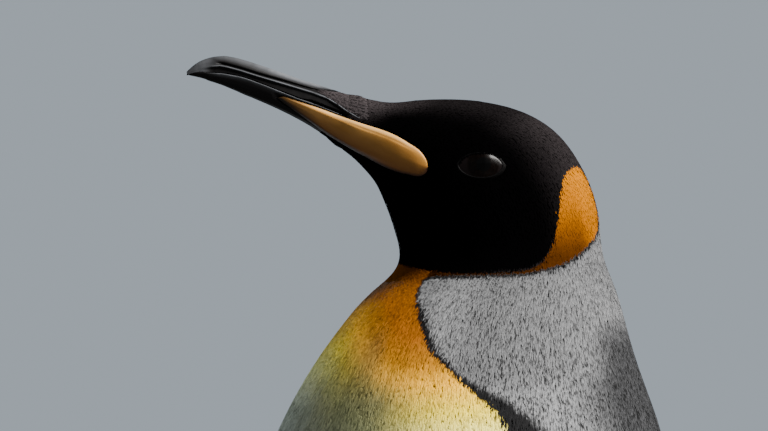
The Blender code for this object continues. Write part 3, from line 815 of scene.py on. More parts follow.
def plumage_group():
    """The bird's colours from its marks, the same for skin and coat."""
    tree, nodes, given, made = node_group("plumage", *((mark, "value") for mark in MARKS))

    def along(*stops):
        """A colour for each share of a feather's length."""
        return nodes.ramp(given["reach"], stops)

    hood = nodes.inside(given["hood_gap"], 0.014)
    above = nodes.inside(given["patch_gap"], 0.010)
    under = nodes.without(above)
    border = nodes.inside(given["front_gap"], 0.7)
    mantle = nodes.inside(given["rear_gap"], 2.2)
    collar = nodes.times(nodes.spread(given["patch_gap"], -0.11, -0.05, kind="SMOOTHSTEP"), under)
    collar = nodes.times(collar, nodes.without(nodes.inside(given["throat_gap"], 1.5)))
    breast = nodes.ramp(
        given["warmth"],
        (
            (0.0, (0.80, 0.80, 0.74)),
            (0.18, (0.78, 0.78, 0.50)),
            (0.29, (0.82, 0.76, 0.20)),
            (0.36, (0.85, 0.64, 0.040)),
            (0.45, (0.88, 0.43, 0.012)),
            (0.51, (0.45, 0.185, 0.006)),
            (0.60, (0.34, 0.108, 0.005)),
            (0.73, (0.26, 0.082, 0.003)),
            (0.86, (0.18, 0.053, 0.003)),
            (1.0, (0.13, 0.036, 0.003)),
        ),
    )
    # Painted shade on the orange patch: dark at its lower edge, bright at its top.
    patch = nodes.ramp(
        given["rise"],
        (
            (0.0, (0.035, 0.0100, 0.0006)),
            (0.20, (0.035, 0.0100, 0.0005)),
            (0.28, (0.048, 0.0138, 0.0004)),
            (0.38, (0.084, 0.0245, 0.0003)),
            (0.50, (0.145, 0.0430, 0.0001)),
            (0.68, (0.235, 0.0730, 0.0)),
            (1.0, (0.300, 0.0980, 0.0)),
        ),
    )
    silver = along(
        (0.0, (0.08, 0.081, 0.084)),
        (0.4, (0.13, 0.132, 0.136)),
        (0.75, (0.21, 0.212, 0.217)),
        (1.0, (0.36, 0.362, 0.370)),
    )
    slate = along(
        (0.0, (0.006, 0.0062, 0.0068)), (0.6, (0.012, 0.0122, 0.0130)), (1.0, (0.040, 0.0405, 0.0430))
    )
    soot = along((0.0, (0.0003, 0.0003, 0.0003)), (1.0, (0.0007, 0.0006, 0.0007)))
    # The hood's painted sheen: a paler brown-grey, palest at the feathers' tips.
    crown = along((0.2, (0.010, 0.0086, 0.0090)), (1.0, (0.046, 0.0385, 0.0400)))
    ink = along((0.0, (0.0012, 0.0012, 0.0012)), (1.0, (0.0100, 0.0098, 0.0104)))
    grey = nodes.mix(given["nape"], silver, slate)
    head = nodes.mix(given["nape"], soot, crown)
    # Painted shade: each feather darker towards its root, under the feathers that lie over it.
    depth = nodes.spread(given["reach"], 0.0, 0.5, 0.7, 1.0)
    shade = nodes.mix(depth, grey_of(0), grey_of(1))
    # Painted shade low on the breast beside the belly line, mixed towards dark grey-green.
    breast = nodes.mix(nodes.times(given["breast_painted_shade"], 0.88), breast, (0.095, 0.115, 0.08))
    front = nodes.mix(1.0, breast, shade, "MULTIPLY")
    ear = nodes.mix(1.0, patch, shade, "MULTIPLY")
    # Painted shade on the strip that runs under the cheek towards the throat.
    ear = nodes.mix(nodes.times(given["strip"], 0.62), ear, (0.006, 0.0035, 0.002))
    ear = nodes.mix(nodes.inside(given["throat_gap"], 1.0), ear, front)
    # From the breast to the border, to the mantle, then the patch and last the hood over all of them.
    colour = nodes.mix(border, front, ink)
    colour = nodes.mix(mantle, colour, grey)
    colour = nodes.mix(nodes.times(collar, 0.9), colour, ink)
    colour = nodes.mix(above, colour, ear)
    colour = nodes.mix(hood, colour, head)
    colour = nodes.mix(given["black"], colour, ink)
    # Feathers differ from each other, most of all on the grey mantle.
    silvery = nodes.times(mantle, under, nodes.without(given["black"]))
    plain = nodes.math("MAXIMUM", hood, nodes.times(above, nodes.inside(given["rise"], 0.02)))
    swing = nodes.mix(silvery, grey_of(0.85), grey_of(1.45))
    swing = nodes.mix(plain, swing, grey_of(0.24))
    own = nodes.plus(nodes.times(nodes.math("SUBTRACT", given["own"], 0.5), swing), 1.0)
    ridge = nodes.math("ABSOLUTE", given["across"])
    edges = nodes.spread(ridge, 0.0, 1.0, 1.08, nodes.spread(silvery, 0.0, 1.0, 0.84, 0.52))
    own = nodes.times(own, edges, nodes.spread(nodes.noise(60, 3, 0.6), 0.3, 0.7, 0.90, 1.06))
    # Streaks run with the feathers: narrow dark gaps of painted shade between feathers and pale strokes of
    # painted highlight, strongest low on the mantle.
    streaks = nodes.noise(600, 2, 0.55, stretch=(1.7, 1.7, 0.25), tilt=24)
    lowness = nodes.spread(given["warmth"], 0.66, 0.40)
    gaps = nodes.mix(silvery, grey_of(0.80), nodes.mix(lowness, grey_of(0.66), grey_of(0.27)))
    glint_strokes = nodes.mix(silvery, grey_of(1.30), nodes.mix(lowness, grey_of(1.55), grey_of(2.6)))
    gaps = nodes.spread(streaks, 0.38, 0.49, gaps, 1.0)
    glint_strokes = nodes.spread(streaks, 0.50, 0.60, 1.0, glint_strokes)
    clumps = nodes.noise(230, 2, 0.5, stretch=(1.3, 1.3, 0.45), tilt=24)
    clumps = nodes.spread(clumps, 0.40, 0.60, 0.74, 1.30)
    clumps = nodes.mix(nodes.times(silvery, lowness), grey_of(1), clumps)
    streaked = nodes.times(gaps, glint_strokes, clumps)
    own = nodes.times(own, nodes.mix(plain, streaked, grey_of(1)))
    tint = nodes.mix(own, grey_of(0), grey_of(0.88))
    nodes.join(nodes.mix(1.0, colour, tint, "MULTIPLY"), made["colour"])
    nodes.join(nodes.spread(hood, 0.0, 1.0, 0.75, 0.70), made["roughness"])
    barbs = nodes.math("SINE", nodes.times(nodes.plus(given["reach"], ridge), 40.0))
    nodes.join(nodes.plus(nodes.noise(900, 2), nodes.times(barbs, 0.12)), made["height"])
    return tree


PLUMAGE = plumage_group()


def plumage_material(name, **settings):
    """Feathers of one part of the bird."""
    made, nodes, shader = new_material(name, 0.7, **settings)
    group = nodes.add("ShaderNodeGroup", node_tree=PLUMAGE)
    for mark in MARKS:
        nodes.join(nodes.attribute(mark), group.inputs[mark])
    finish(nodes, shader, *group.outputs, 0.25, 0.0003)
    return made


def horn_group():
    """Grain of horn: fine lines along its length, with paler places of rubbing and of painted sheen."""
    inputs = (("dark", "colour"), ("worn_and_sheen", "colour"), ("wear_and_sheen", "value"))
    tree, nodes, given, made = node_group("horn_grain", *inputs)
    lines = nodes.noise(260, 3, 0.6, stretch=(3.0, 0.35, 2.4))
    blotches = nodes.noise(95, 3, 0.6)
    wear_and_sheen = nodes.times(given["wear_and_sheen"], nodes.spread(blotches, 0.3, 0.65, 0.45, 1.0))
    wear_and_sheen = nodes.plus(wear_and_sheen, nodes.spread(lines, 0.62, 0.85, 0.0, 0.06), clamp=True)
    nodes.join(nodes.mix(wear_and_sheen, given["dark"], given["worn_and_sheen"]), made["colour"])
    nodes.join(nodes.spread(blotches, 0.3, 0.7, 0.38, 0.5), made["roughness"])
    nodes.join(nodes.plus(lines, nodes.times(blotches, 0.6)), made["height"])
    return tree


HORN = horn_group()


def horn_material(name, dark, worn_and_sheen, strength):
    """Horn whose paler places, of rubbing and of painted sheen, are read from the piece's own values."""
    made, nodes, shader = new_material(name, 0.4, specular_ior_level=0.05)
    group = nodes.add("ShaderNodeGroup", node_tree=HORN)
    for source, socket in zip((dark, worn_and_sheen, nodes.attribute("wear_and_sheen")), group.inputs):
        nodes.join(source, socket)
    finish(nodes, shader, *group.outputs, strength, 0.0002)
    return made


def plate_material():
    """Waxy horn: black-brown at its front point, ochre in the middle, browner behind, with a painted
    highlight along its top and painted shade on its lower side.
    """
    settings = {"coat_weight": 0.02, "coat_roughness": 0.3, "subsurface_weight": 0.03}
    made, nodes, shader = new_material("plate_horn", 0.36, specular_ior_level=0.12, **settings)
    shader.inputs["Subsurface Radius"].default_value = (0.003, 0.0012, 0.0005)
    inner, rearward, upward = (nodes.attribute(name) for name in ("inner", "rearward", "upward"))
    stain = nodes.noise(70, 3, 0.6, stretch=(1, 0.5, 1))
    middle = nodes.mix(nodes.spread(stain, 0.35, 0.65), (0.300, 0.140, 0.030), (0.370, 0.185, 0.046))
    rear = nodes.mix(nodes.spread(stain, 0.3, 0.7), (0.250, 0.108, 0.018), (0.330, 0.150, 0.028))
    body = nodes.mix(nodes.spread(rearward, 0.55, 0.98), middle, rear)
    # Painted shade: darker towards the plate's lower side.
    body = nodes.mix(nodes.spread(upward, 0.0, 0.72), (0.105, 0.037, 0.006), body)
    # The rim carries a painted highlight along the top, lost towards both ends.
    ends = nodes.times(nodes.spread(rearward, 0.10, 0.35), nodes.spread(rearward, 0.97, 0.85))
    rim = nodes.times(nodes.spread(upward, 0.84, 0.95, kind="SMOOTHSTEP"), ends)
    rim = nodes.times(rim, nodes.spread(stain, 0.3, 0.7, 0.6, 0.95))
    body = nodes.mix(rim, body, (0.40, 0.235, 0.085))
    # Painted shade along the lower edge.
    shaded_lower_edge = nodes.times(nodes.spread(inner, 0.45, 0.05), nodes.spread(upward, 0.6, 0.3))
    body = nodes.mix(shaded_lower_edge, body, (0.016, 0.006, 0.003))
    ragged = nodes.plus(rearward, nodes.spread(stain, 0.0, 1.0, -0.05, 0.05))
    ragged = nodes.plus(ragged, nodes.spread(upward, 0.0, 1.0, -0.045, 0.055))
    colour = nodes.mix(nodes.spread(ragged, 0.04, 0.30), (0.008, 0.005, 0.003), body)
    lines = nodes.noise(420, 2, 0.5, stretch=(2.5, 0.3, 2.0))
    finish(nodes, shader, colour, nodes.spread(lines, 0.3, 0.7, 0.32, 0.46), lines, 0.12, 0.0001)
    return made


def eye_material():
    """A wet, very dark brown eye with a black pupil."""
    made, nodes, shader = new_material("eye_wet", 0.2, specular_ior_level=0.07)
    out = nodes.attribute("from_axis")
    rays = nodes.noise(900, 3, 0.6)
    iris = nodes.mix(nodes.spread(rays, 0.35, 0.65), (0.0009, 0.0005, 0.0004), (0.0020, 0.0011, 0.0008))
    inner = nodes.mix(nodes.spread(out, 0.36, 0.42), grey_of(0.001), iris)
    colour = nodes.mix(nodes.spread(out, 0.80, 0.92), inner, (0.003, 0.002, 0.002))
    finish(nodes, shader, colour, nodes.spread(rays, 0.2, 0.8, 0.2, 0.26))
    return made


def lid_material():
    """Black wrinkled skin with a thin grey rim."""
    made, nodes, shader = new_material("lid_skin", 0.5, specular_ior_level=0.015)
    wrinkles = nodes.noise(1100, 3, 0.6, stretch=(1, 0.5, 1.6))
    body = nodes.mix(nodes.spread(wrinkles, 0.35, 0.7), (0.0007, 0.0006, 0.0006), (0.0020, 0.0019, 0.0019))
    rim = nodes.times(nodes.attribute("rim"), nodes.spread(wrinkles, 0.3, 0.6, 0.5, 1.0))
    colour = nodes.mix(rim, body, (0.0016, 0.0015, 0.0016))
    finish(nodes, shader, colour, nodes.spread(wrinkles, 0.3, 0.7, 0.4, 0.6), wrinkles, 0.3, 0.0002)
    return made


def bare_skin_material(name, dark, pale, scale, strength):
    """Dark bare skin in small rounded scutes."""
    made, nodes, shader = new_material(name, 0.55)
    place = nodes.add("ShaderNodeTexCoord").outputs["Object"]
    scutes = nodes.add("ShaderNodeTexVoronoi", feature="SMOOTH_F1")
    scutes.inputs["Scale"].default_value = scale
    scutes.inputs["Smoothness"].default_value = 0.25
    nodes.join(place, scutes.inputs["Vector"])
    dome = nodes.spread(scutes.outputs["Distance"], 0.0, 0.75, 1.0, 0.0)
    tone = nodes.times(dome, nodes.spread(nodes.noise(120, 3), 0.3, 0.7, 0.4, 1.0))
    roughness = nodes.spread(dome, 0.0, 1.0, 0.7, 0.42)
    finish(nodes, shader, nodes.mix(tone, dark, pale), roughness, dome, strength, 0.0006)
    return made


def floor_material():
    """Plain pale paper."""
    made, nodes, shader = new_material("floor_paper", 0.9)
    tone = nodes.spread(nodes.noise(3, 2), 0.3, 0.7, 0.0, 1.0)
    finish(nodes, shader, nodes.mix(tone, (0.150, 0.153, 0.156), (0.158, 0.161, 0.164)))
    return made


# ---------------------------------------------------------------- horn, eyes and feet


def near_line(points, line, width):
    """1 on a line in side view, given as y and z in mm, falling to 0 about that far above or below."""
    height = np.interp(points[..., 1], np.array(line[0]) * MM, np.array(line[1]) * MM)
    gap = (points[..., 2] - height) / (width * MM)
    run = soft_step(points[..., 1], line[0][0] * MM, (line[0][0] + 6) * MM)
    return np.exp(-gap * gap) * run


# The long groove below the ridge of the upper bill and the small ridge under it, as y and z in mm.
GROOVE = ((-144, -138, -129.7, -119.2, -105, -91, -86), (764.0, 763.1, 760.9, 757.6, 753.7, 749.9, 748.9))
SMALL_RIDGE = (
    (-151, -146, -141, -137, -129.7, -119.2, -105, -91, -82.5, -76.8, -72.4, -66.5),
    (760.6, 762.0, 762.4, 761.7, 759.7, 756.4, 752.3, 748.1, 744.9, 741.2, 737.8, 734.0),
)
# The lower outline of the bill at its tip, as y and z in mm.
TIP_LOW = ((-158.3, -157.4, -154.5, -151.3, -148, -145), (758.2, 757.2, 756.6, 756.0, 755.1, 753.9))
BILL_REAR = -55
THINNEST = 0.05 * MM
# Where the horn goes under the feathers of the head, and under those of the chin.
UNDER_HEAD, UNDER_CHIN = -62, -75.5


def side_reader(names, *more):
    """A function for how far those solids and trees reach to the left at a y and z, 0 beside them."""
    trees = [tree_of(NODES[name]) for name in names] + list(more)

    def reach(y, z):
        hits = [tree.ray_cast(Vector((0.2, y, z)), Vector((-1, 0, 0)))[0] for tree in trees]
        return max((hit.x for hit in hits if hit is not None), default=0.0)

    return reach


def span_of(name, levels, step=0.25 * MM):
    """Lowest and highest z of a solid in side view, at each y."""
    reach = side_reader([name])
    low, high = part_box(name)
    heights = np.arange(low.z - step, high.z + step, step)
    bottoms, tops = [], []
    for y in levels:
        inside = [z for z in heights if reach(y, z) > 0]
        bottoms.append(inside[0] if inside else np.nan)
        tops.append(inside[-1] if inside else np.nan)
    return np.array(bottoms), np.array(tops)


def evened(values, width):
    """A running mean along the first axis, with the ends held."""
    pad = [(width, width)] + [(0, 0)] * (values.ndim - 1)
    held = np.pad(values, pad, mode="edge")
    return sum(held[k : k + len(values)] for k in range(2 * width + 1)) / (2 * width + 1)


def band_faces(bands, count, around):
    """Triangles of some bands, each from one ring of points to the next, or from the last to the first."""
    row, column = np.meshgrid(np.arange(bands), np.arange(around), indexing="ij")
    after = (column + 1) % around
    above, below = row * around, (row + 1) % count * around
    here, beside, corner, ahead = (
        spot.ravel() for spot in (above + column, above + after, below + after, below + column)
    )
    return np.concatenate([np.stack([here, beside, corner], 1), np.stack([here, corner, ahead], 1)])


def tube(name, rings):
    """A closed skin through rings of points, with a fan over each end."""
    count, around = rings.shape[:2]
    points = np.concatenate([rings.reshape(-1, 3), rings[0].mean(0)[None], rings[-1].mean(0)[None]])
    ring = np.arange(around)
    after = (ring + 1) % around
    last = (count - 1) * around
    start_fan = np.stack([after, ring, np.full(around, len(points) - 2)], 1)
    end_fan = np.stack([last + ring, last + after, np.full(around, len(points) - 1)], 1)
    faces = np.concatenate([band_faces(count - 1, count, around), start_fan, end_fan])
    return mesh_object(name, points, faces)


def closed_ring(name, rings):
    """A closed skin through rings of points whose last ring meets the first."""
    count, around = rings.shape[:2]
    return mesh_object(name, rings.reshape(-1, 3), band_faces(count, count, around))


def side_places(levels, heights, widths):
    """The points of a left side, in rows down it at each y."""
    return np.stack([widths, np.repeat(levels[:, None], heights.shape[1], 1), heights], 2)


def side_rings(levels, heights, widths):
    """Rings of a form that is the same left and right: down its left side and up its right."""
    left = side_places(levels, heights, widths)
    right = left[:, ::-1] * np.array([-1, 1, 1])
    return np.concatenate([left, right], 1)


def read_widths(reach, levels, heights):
    """How far a form reaches to the left at each y and z of a grid."""
    return np.array([[reach(y, z) for z in row] for y, row in zip(levels, heights)])


def eased_across(widths):
    """Widths averaged with those above and below them, with the first and last kept."""
    inner = (widths[:, :-2] + 2 * widths[:, 1:-1] + widths[:, 2:]) / 4
    return np.concatenate([widths[:, :1], inner, widths[:, -1:]], 1)


def bill_levels(low, high, count):
    """Places along the bill, closer together towards its tip."""
    share = np.linspace(0, 1, count)
    return (low + (high - low) * share**1.35) * MM


def make_upper_bill(horn, skin_tree):
    """The upper half of the bill: ridge, groove, small ridge, undercut side, and the strip over a plate."""
    levels = bill_levels(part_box("bill_upper")[0].y / MM + 0.35, BILL_REAR, 210)
    along = levels / MM
    bottoms, tops = span_of("bill_upper", levels)
    _, head_high = span_of("head", levels)
    _, plate_high = span_of("plate_left", levels)
    tops = np.fmax(tops, head_high - 1.2 * MM * soft_step(along, UNDER_HEAD, UNDER_HEAD + 4))
    tops = tops - 0.35 * MM * soft_step(along, -78, -69)
    # Beside a plate the lower edge runs a little under the plate's upper one.
    missing = np.isnan(plate_high) | np.isnan(bottoms)
    beside = np.where(missing, levels > -86 * MM, soft_step(along, -94, -84))
    on_plate = np.where(beside > 0, np.nan_to_num(plate_high - 1.6 * MM), 0)
    before = np.where(beside < 1, np.nan_to_num(bottoms), 0)
    bottoms = on_plate * beside + before * (1 - beside)
    bottoms[bottoms == 0] = np.nan
    good = ~(np.isnan(tops) | np.isnan(bottoms))
    tops, bottoms = (evened(np.interp(levels, levels[good], row[good]), 4) for row in (tops, bottoms))
    bottoms = bottoms - soft_step(-along, 149, 155) * 0.5 * MM
    share = (1 - np.cos(np.linspace(0, 1, 48) * pi * 0.93)) / (1 - cos(pi * 0.93))
    heights = tops[:, None] + (bottoms - tops)[:, None] * share[None]
    widths = read_widths(side_reader(("bill_upper", "head"), skin_tree), levels, heights)
    widths[:, 0] = 0
    widths[:, 1:] = np.maximum(widths[:, 1:], 0.3 * MM)
    widths = eased_across(evened(widths, 3))
    # Bill and head meet in one even curve.
    meeting = soft_step(along, -82, -76) * (1 - soft_step(along, -64, -59))
    widths = widths + (evened(evened(widths, 8), 8) - widths) * meeting[:, None]
    widths[:, 0] = 0
    places = side_places(levels, heights, widths)
    groove = near_line(places, GROOVE, 0.62)
    ridge = near_line(places, SMALL_RIDGE, 0.42)
    along = along[:, None]
    ridge_height = np.interp(along, *SMALL_RIDGE)
    undercut = soft_step(ridge_height - heights / MM, 0.2, 1.3) * soft_step(along, -151, -144)
    # Bare below the wedge of feathers and along the very ridge, sunk a little between them.
    above = soft_step(heights / MM - np.interp(along, *WEDGE_LOW), -0.4, 0.4) * soft_step(along, -89, -87)
    below = soft_step(np.interp(along, *WEDGE_HIGH) - heights / MM, -0.3, 0.3)
    sunk = above * below * (0.35 + 2.2 * soft_step(along, UNDER_HEAD - 1.5, UNDER_HEAD + 3.5))
    sunk = sunk + above * (1 - below) * 2.6 * soft_step(along, UNDER_HEAD - 1, UNDER_HEAD + 4)
    sunk = sunk + (1 - above) * 3.0 * soft_step(along, -63.5, -58)
    detail = 1 - soft_step(along, -89, -86) * above
    push = ridge * 0.38 * (1 - above) - groove * 1.35 * detail - undercut * 1.0 * (1 - above) - sunk
    widths = np.maximum(widths + push * MM * np.clip(widths / (2.5 * MM), 0, 1), THINNEST)
    widths[:, 0] = 0.02 * MM
    piece = tube("bill_upper_horn", side_rings(levels, heights, widths))
    # Pale towards the top of the ridge: painted sheen, with dusty horn near the feathers. A painted highlight
    # runs along the small ridge, and the tip is rubbed pale.
    groove_height = np.interp(levels, np.array(GROOVE[0]) * MM, np.array(GROOVE[1]) * MM)[:, None]
    band = soft_step((heights - groove_height) / np.maximum(tops[:, None] - groove_height, MM), 0.22, 0.98)
    band = band * (0.36 * soft_step(along, -154, -138) + 0.50 * soft_step(along, -126, -108))
    tip = soft_step(-along, 140, 150) * 0.34
    wear_and_sheen = np.maximum(band, ridge * (0.32 + 0.36 * soft_step(along, -150, -136)))
    wear_and_sheen = np.maximum(wear_and_sheen, tip) * (1 - groove) * (1 - undercut * (1 - above))
    finish_bill(piece, "bill_upper", wear_and_sheen, horn)
    return piece


def make_lower_bill(horn, skin_tree):
    """The lower half of the bill, with the rounded edge that meets the upper half."""
    levels = bill_levels(TIP_LOW[0][0], UNDER_CHIN + 4.5, 140)
    along = levels / MM
    bottoms, tops = span_of("bill_lower", levels)
    upper_low, _ = span_of("bill_upper", levels)
    head_low, _ = span_of("head", levels)
    tops = np.where(np.isnan(upper_low), tops, upper_low + 0.25 * MM)
    bottoms = np.fmin(bottoms, head_low + 0.5 * MM)
    # The upper edge is known up to the plate and runs straight on under it.
    before = levels < -79.5 * MM
    top_known, bottom_known = ~np.isnan(tops) & before, ~np.isnan(bottoms)
    known, top_there = levels[top_known], tops[top_known]
    slope = (top_there[-1] - top_there[-8]) / (known[-1] - known[-8])
    tops = np.where(before, np.interp(levels, known, top_there), top_there[-1] + (levels - known[-1]) * slope)
    tops = evened(tops, 3)
    bottoms = evened(np.interp(levels, levels[bottom_known], bottoms[bottom_known]), 3)
    at_tip = soft_step(-along, 145, 149)
    bottoms = bottoms * (1 - at_tip) + np.interp(along, *TIP_LOW) * MM * at_tip
    bottoms = np.minimum(bottoms, tops - 0.3 * MM)
    rounded = np.sqrt(np.clip((levels - levels[0]) / (5 * MM) + 0.03, 0, 1))[:, None]
    share = (1 - np.cos(np.linspace(0, 1, 34) * pi)) / 2
    heights = tops[:, None] + (bottoms - tops)[:, None] * share[None]
    widths = read_widths(side_reader(("bill_lower", "bill_upper", "head"), skin_tree), levels, heights)
    oval = widths[:, 1:2] * np.sqrt(np.clip(1 - share**2.4, 0, 1))[None]
    widths = widths * (1 - at_tip[:, None]) + np.maximum(widths, oval) * at_tip[:, None]
    widths = eased_across(evened(np.maximum(widths, 0.3 * MM), 3) * rounded)
    edge = np.exp(-(((tops[:, None] - heights) / MM - 1.1) ** 2) / 0.9)
    closing = np.sqrt(np.clip(share * 14, 0, 1))[None]
    inside = soft_step(along, UNDER_CHIN, UNDER_CHIN + 4)[:, None]
    widths = (widths + edge * 0.38 * rounded * MM) * closing - inside * 2.2 * MM
    widths = np.maximum(widths, THINNEST)
    widths[:, -1] = 0.02 * MM
    piece = tube("bill_lower_horn", side_rings(levels, heights, widths))
    # A painted highlight along the rounded upper edge of the lower half.
    finish_bill(piece, "bill_lower", edge * 0.62 * soft_step(levels, -0.15, -0.135)[:, None], horn)
    return piece


def finish_bill(piece, node, wear_and_sheen, horn):
    """Gives half of the bill its pale marks of rubbing and painted sheen, its horn and its place in the
    frame.
    """
    both = np.clip(np.concatenate([wear_and_sheen, wear_and_sheen[:, ::-1]], 1), 0, 1).ravel()
    put_values(piece, "wear_and_sheen", np.concatenate([both, [0, 0]]))
    dress(piece, horn, "bill_black", node)


def make_plates(horn, skin_tree):
    """The long waxy plates on the lower bill: rounded behind, thin in front, with a rolled upper edge."""
    low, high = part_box("plate_left")
    reach = side_reader(("plate_left", "bill_lower"))
    flesh = side_reader((), skin_tree)
    stops = np.linspace(low.y + 0.4 * MM, high.y - 0.2 * MM, 60)
    bottoms, tops = span_of("plate_left", stops)
    good = ~np.isnan(tops)
    stops, bottoms, tops = stops[good], evened(bottoms[good], 3), evened(tops[good], 3)
    share = (1 - np.cos(np.linspace(0, 1, 110) * pi)) / 2
    levels = low.y + 0.5 * MM + (high.y + 0.4 * MM - low.y - 0.5 * MM) * share
    bottom = np.interp(levels, stops, bottoms) - soft_step(share, 0.45, 0.86) * 2.2 * MM
    top = np.interp(levels, stops, tops)
    # The rear end is half an ellipse that carries on the two edges.
    turn_from = 0.88
    turned = np.clip((share - turn_from) / (1 - turn_from), 0, 1)
    middle = (bottom + top) / 2
    k = np.searchsorted(share, turn_from)
    slope = (middle[k] - middle[k - 8]) / (levels[k] - levels[k - 8])
    middle = np.where(share > turn_from, middle[k] + (levels - levels[k]) * slope, middle)
    half = np.where(share > turn_from, (top[k] - bottom[k]) / 2, (top - bottom) / 2)
    half = evened(half, 2) * np.sqrt(np.clip(1 - turned**2.2, 0, 1)) * soft_step(share, -0.01, 0.05)
    half = np.maximum(half, THINNEST)
    middle = evened(middle, 2)
    across = -np.cos(np.linspace(0, 1, 45) * pi)
    heights = middle[:, None] + half[:, None] * across[None]
    base = np.maximum(read_widths(reach, levels, heights), read_widths(flesh, levels, heights) + 1.0 * MM)
    base = evened(base, 3)
    base[:, 1:-1] = (base[:, :-2] + base[:, 1:-1] + base[:, 2:]) / 3
    crown = np.clip(1 - np.abs(across) ** 3.2, 0, 1) ** 0.55
    crown = crown * (1 + 0.28 * across) - 0.10 * np.exp(-(((across - 0.25) / 0.35) ** 2))
    crease = np.exp(-(((across[None] - 0.66) / 0.07) ** 2)) * soft_step(share, 0.42, 0.58)[:, None]
    crease = crease * (1 - soft_step(share, 0.80, 0.92))[:, None]
    swell = soft_step(share, 0.0, 0.30) * np.sqrt(np.clip(1 - turned**2.6, 0, 1))
    outer = base + (1.35 * swell[:, None] * crown[None] - 0.28 * crease - 0.75) * MM
    front, back = (side_places(levels, heights, reach_out) for reach_out in (outer, base - 2.2 * MM))
    rings = np.concatenate([front, back[:, ::-1]], 1)
    edge_gap = np.minimum((1 - np.abs(across))[None] * half[:, None], (1 - share)[:, None] * 0.03) / (4 * MM)
    values = {
        "inner": np.clip(edge_gap, 0, 1),
        "rearward": np.repeat(share[:, None], len(across), 1),
        "upward": np.repeat((across[None] + 1) / 2, len(share), 0),
    }
    made = []
    for side, way in SIDES.items():
        piece = tube(f"plate_{side}_horn", (rings * np.array([way, 1, 1]))[:, ::way])
        for name, grid in values.items():
            full = np.concatenate([grid, grid[:, ::-1]], 1)[:, ::way]
            put_values(piece, name, np.concatenate([full.ravel(), [0, 1 if name == "rearward" else 0]]))
        dress(piece, horn, "bill_plate", f"plate_{side}")
        made.append(piece)
    return made


def eye_middle(side):
    """The middle of an eye's solid."""
    low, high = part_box(f"eye_{side}")
    return (low + high) / 2


def eye_points(side, skin_tree, stops, lifts, turns=80):
    """Rings round the middle of an eye's opening, at some height above the skin."""
    way = SIDES[side]
    middle = eye_middle(side)
    rings = []
    for stop, lift in zip(stops, lifts):
        ring = []
        for k in range(turns):
            angle = 2 * pi * k / turns
            # Pointed corners: the opening is an almond, not an ellipse.
            narrow = 1 - 0.22 * abs(cos(angle)) ** 5 * min(max(1.6 - stop, 0), 0.6) / 0.6
            y = middle.y + (LID_MIDDLE[0] + LID_HALF[0] * stop * cos(angle)) * MM
            z = middle.z + (LID_MIDDLE[1] + LID_HALF[1] * stop * sin(angle) * narrow) * MM
            hit = skin_tree.ray_cast(Vector((0.2 * way, y, z)), Vector((-way, 0, 0)))[0]
            ring.append((hit.x + lift * MM * way, y, z))
        rings.append(ring)
    rings = np.array(rings)
    x = rings[:, :, 0]
    rings[:, :, 0] = (x + np.roll(x, 1, 1) + np.roll(x, -1, 1)) / 3
    return rings


def make_eyes(wet, skin_tree):
    """The part of each eyeball that shows, a low dome with its iris turned a little forward."""
    made = []
    stops = np.concatenate([np.linspace(0.02, 0.9, 18), np.linspace(0.93, 1.12, 6)])
    for side, way in SIDES.items():
        middle = eye_middle(side)
        front = eye_points(side, skin_tree, stops, 1.0 - 0.75 * stops**2)
        back = front[::-1] - np.array([3.5 * MM * way, 0, 0])
        piece = tube(f"eye_{side}_ball", np.concatenate([front, back])[:, ::-way])
        points, _, _ = mesh_arrays(piece.data)
        across = points[:, 1:] - np.array([middle.y - 2.2 * MM, middle.z - 0.6 * MM])
        put_values(piece, "from_axis", np.linalg.norm(across, axis=1) / (10 * MM))
        dress(piece, wet, "eye", f"eye_{side}")
        made.append(piece)
    return made


def lid_reach(points, side):
    """How far each point lies from the middle of the eye's opening, where 1 is the lids' edge."""
    middle = eye_middle(side)
    across = (points[:, 1] - middle.y) / MM - LID_MIDDLE[0]
    upward = (points[:, 2] - middle.z) / MM - LID_MIDDLE[1]
    return np.hypot(across / LID_HALF[0], upward / LID_HALF[1])


LID_STOPS = (0.95, 0.975, 1.0, 1.03, 1.06, 1.10, 1.16, 1.24)
LID_LIFTS = (-0.1, 0.38, 0.58, 0.62, 0.55, 0.42, 0.15, -0.4)


def make_lids(skin_tree, bare):
    """Thin bare lids round each eye: a rolled edge on the eyeball, then down under the feathers."""
    for side, way in SIDES.items():
        outside = eye_points(side, skin_tree, LID_STOPS, LID_LIFTS)
        under = outside[::-1] - np.array([0.5 * MM * way, 0, 0])
        loop = np.concatenate([outside, under]).transpose(1, 0, 2)
        piece = closed_ring(f"lids_{side}", loop[::-way])
        rim = np.exp(-(((np.array(LID_STOPS) - 1.0) / 0.04) ** 2))
        rim = np.concatenate([rim, rim * 0])
        put_values(piece, "rim", np.tile(rim, len(loop)))
        piece.data.materials.append(bare)
        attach(piece, "root")


def make_feet(bare):
    """Both webbed feet: the frame's own, evenly meshed, with ringed toes."""
    for side in SIDES:
        name = f"foot_{side}"
        piece = refined(f"{name}_skin", [name], FOOT_VOXEL, 4)
        points, normals, _ = mesh_arrays(piece.data)
        along = points[:, 0] * SIDES[side] * 0.15 - points[:, 1]
        upper = soft_step(normals[:, 2], 0.0, 0.6) * soft_step(points[:, 2], 3 * MM, 6 * MM)
        rings = np.abs(np.sin(along / MM * pi / 4.2))
        points = points + normals * ((rings - 0.6) * upper * 0.35 * MM)[:, None]
        points[:, 2] = np.maximum(points[:, 2], 0)
        move_points(piece, points)
        dress(piece, bare, "foot_skin", name)


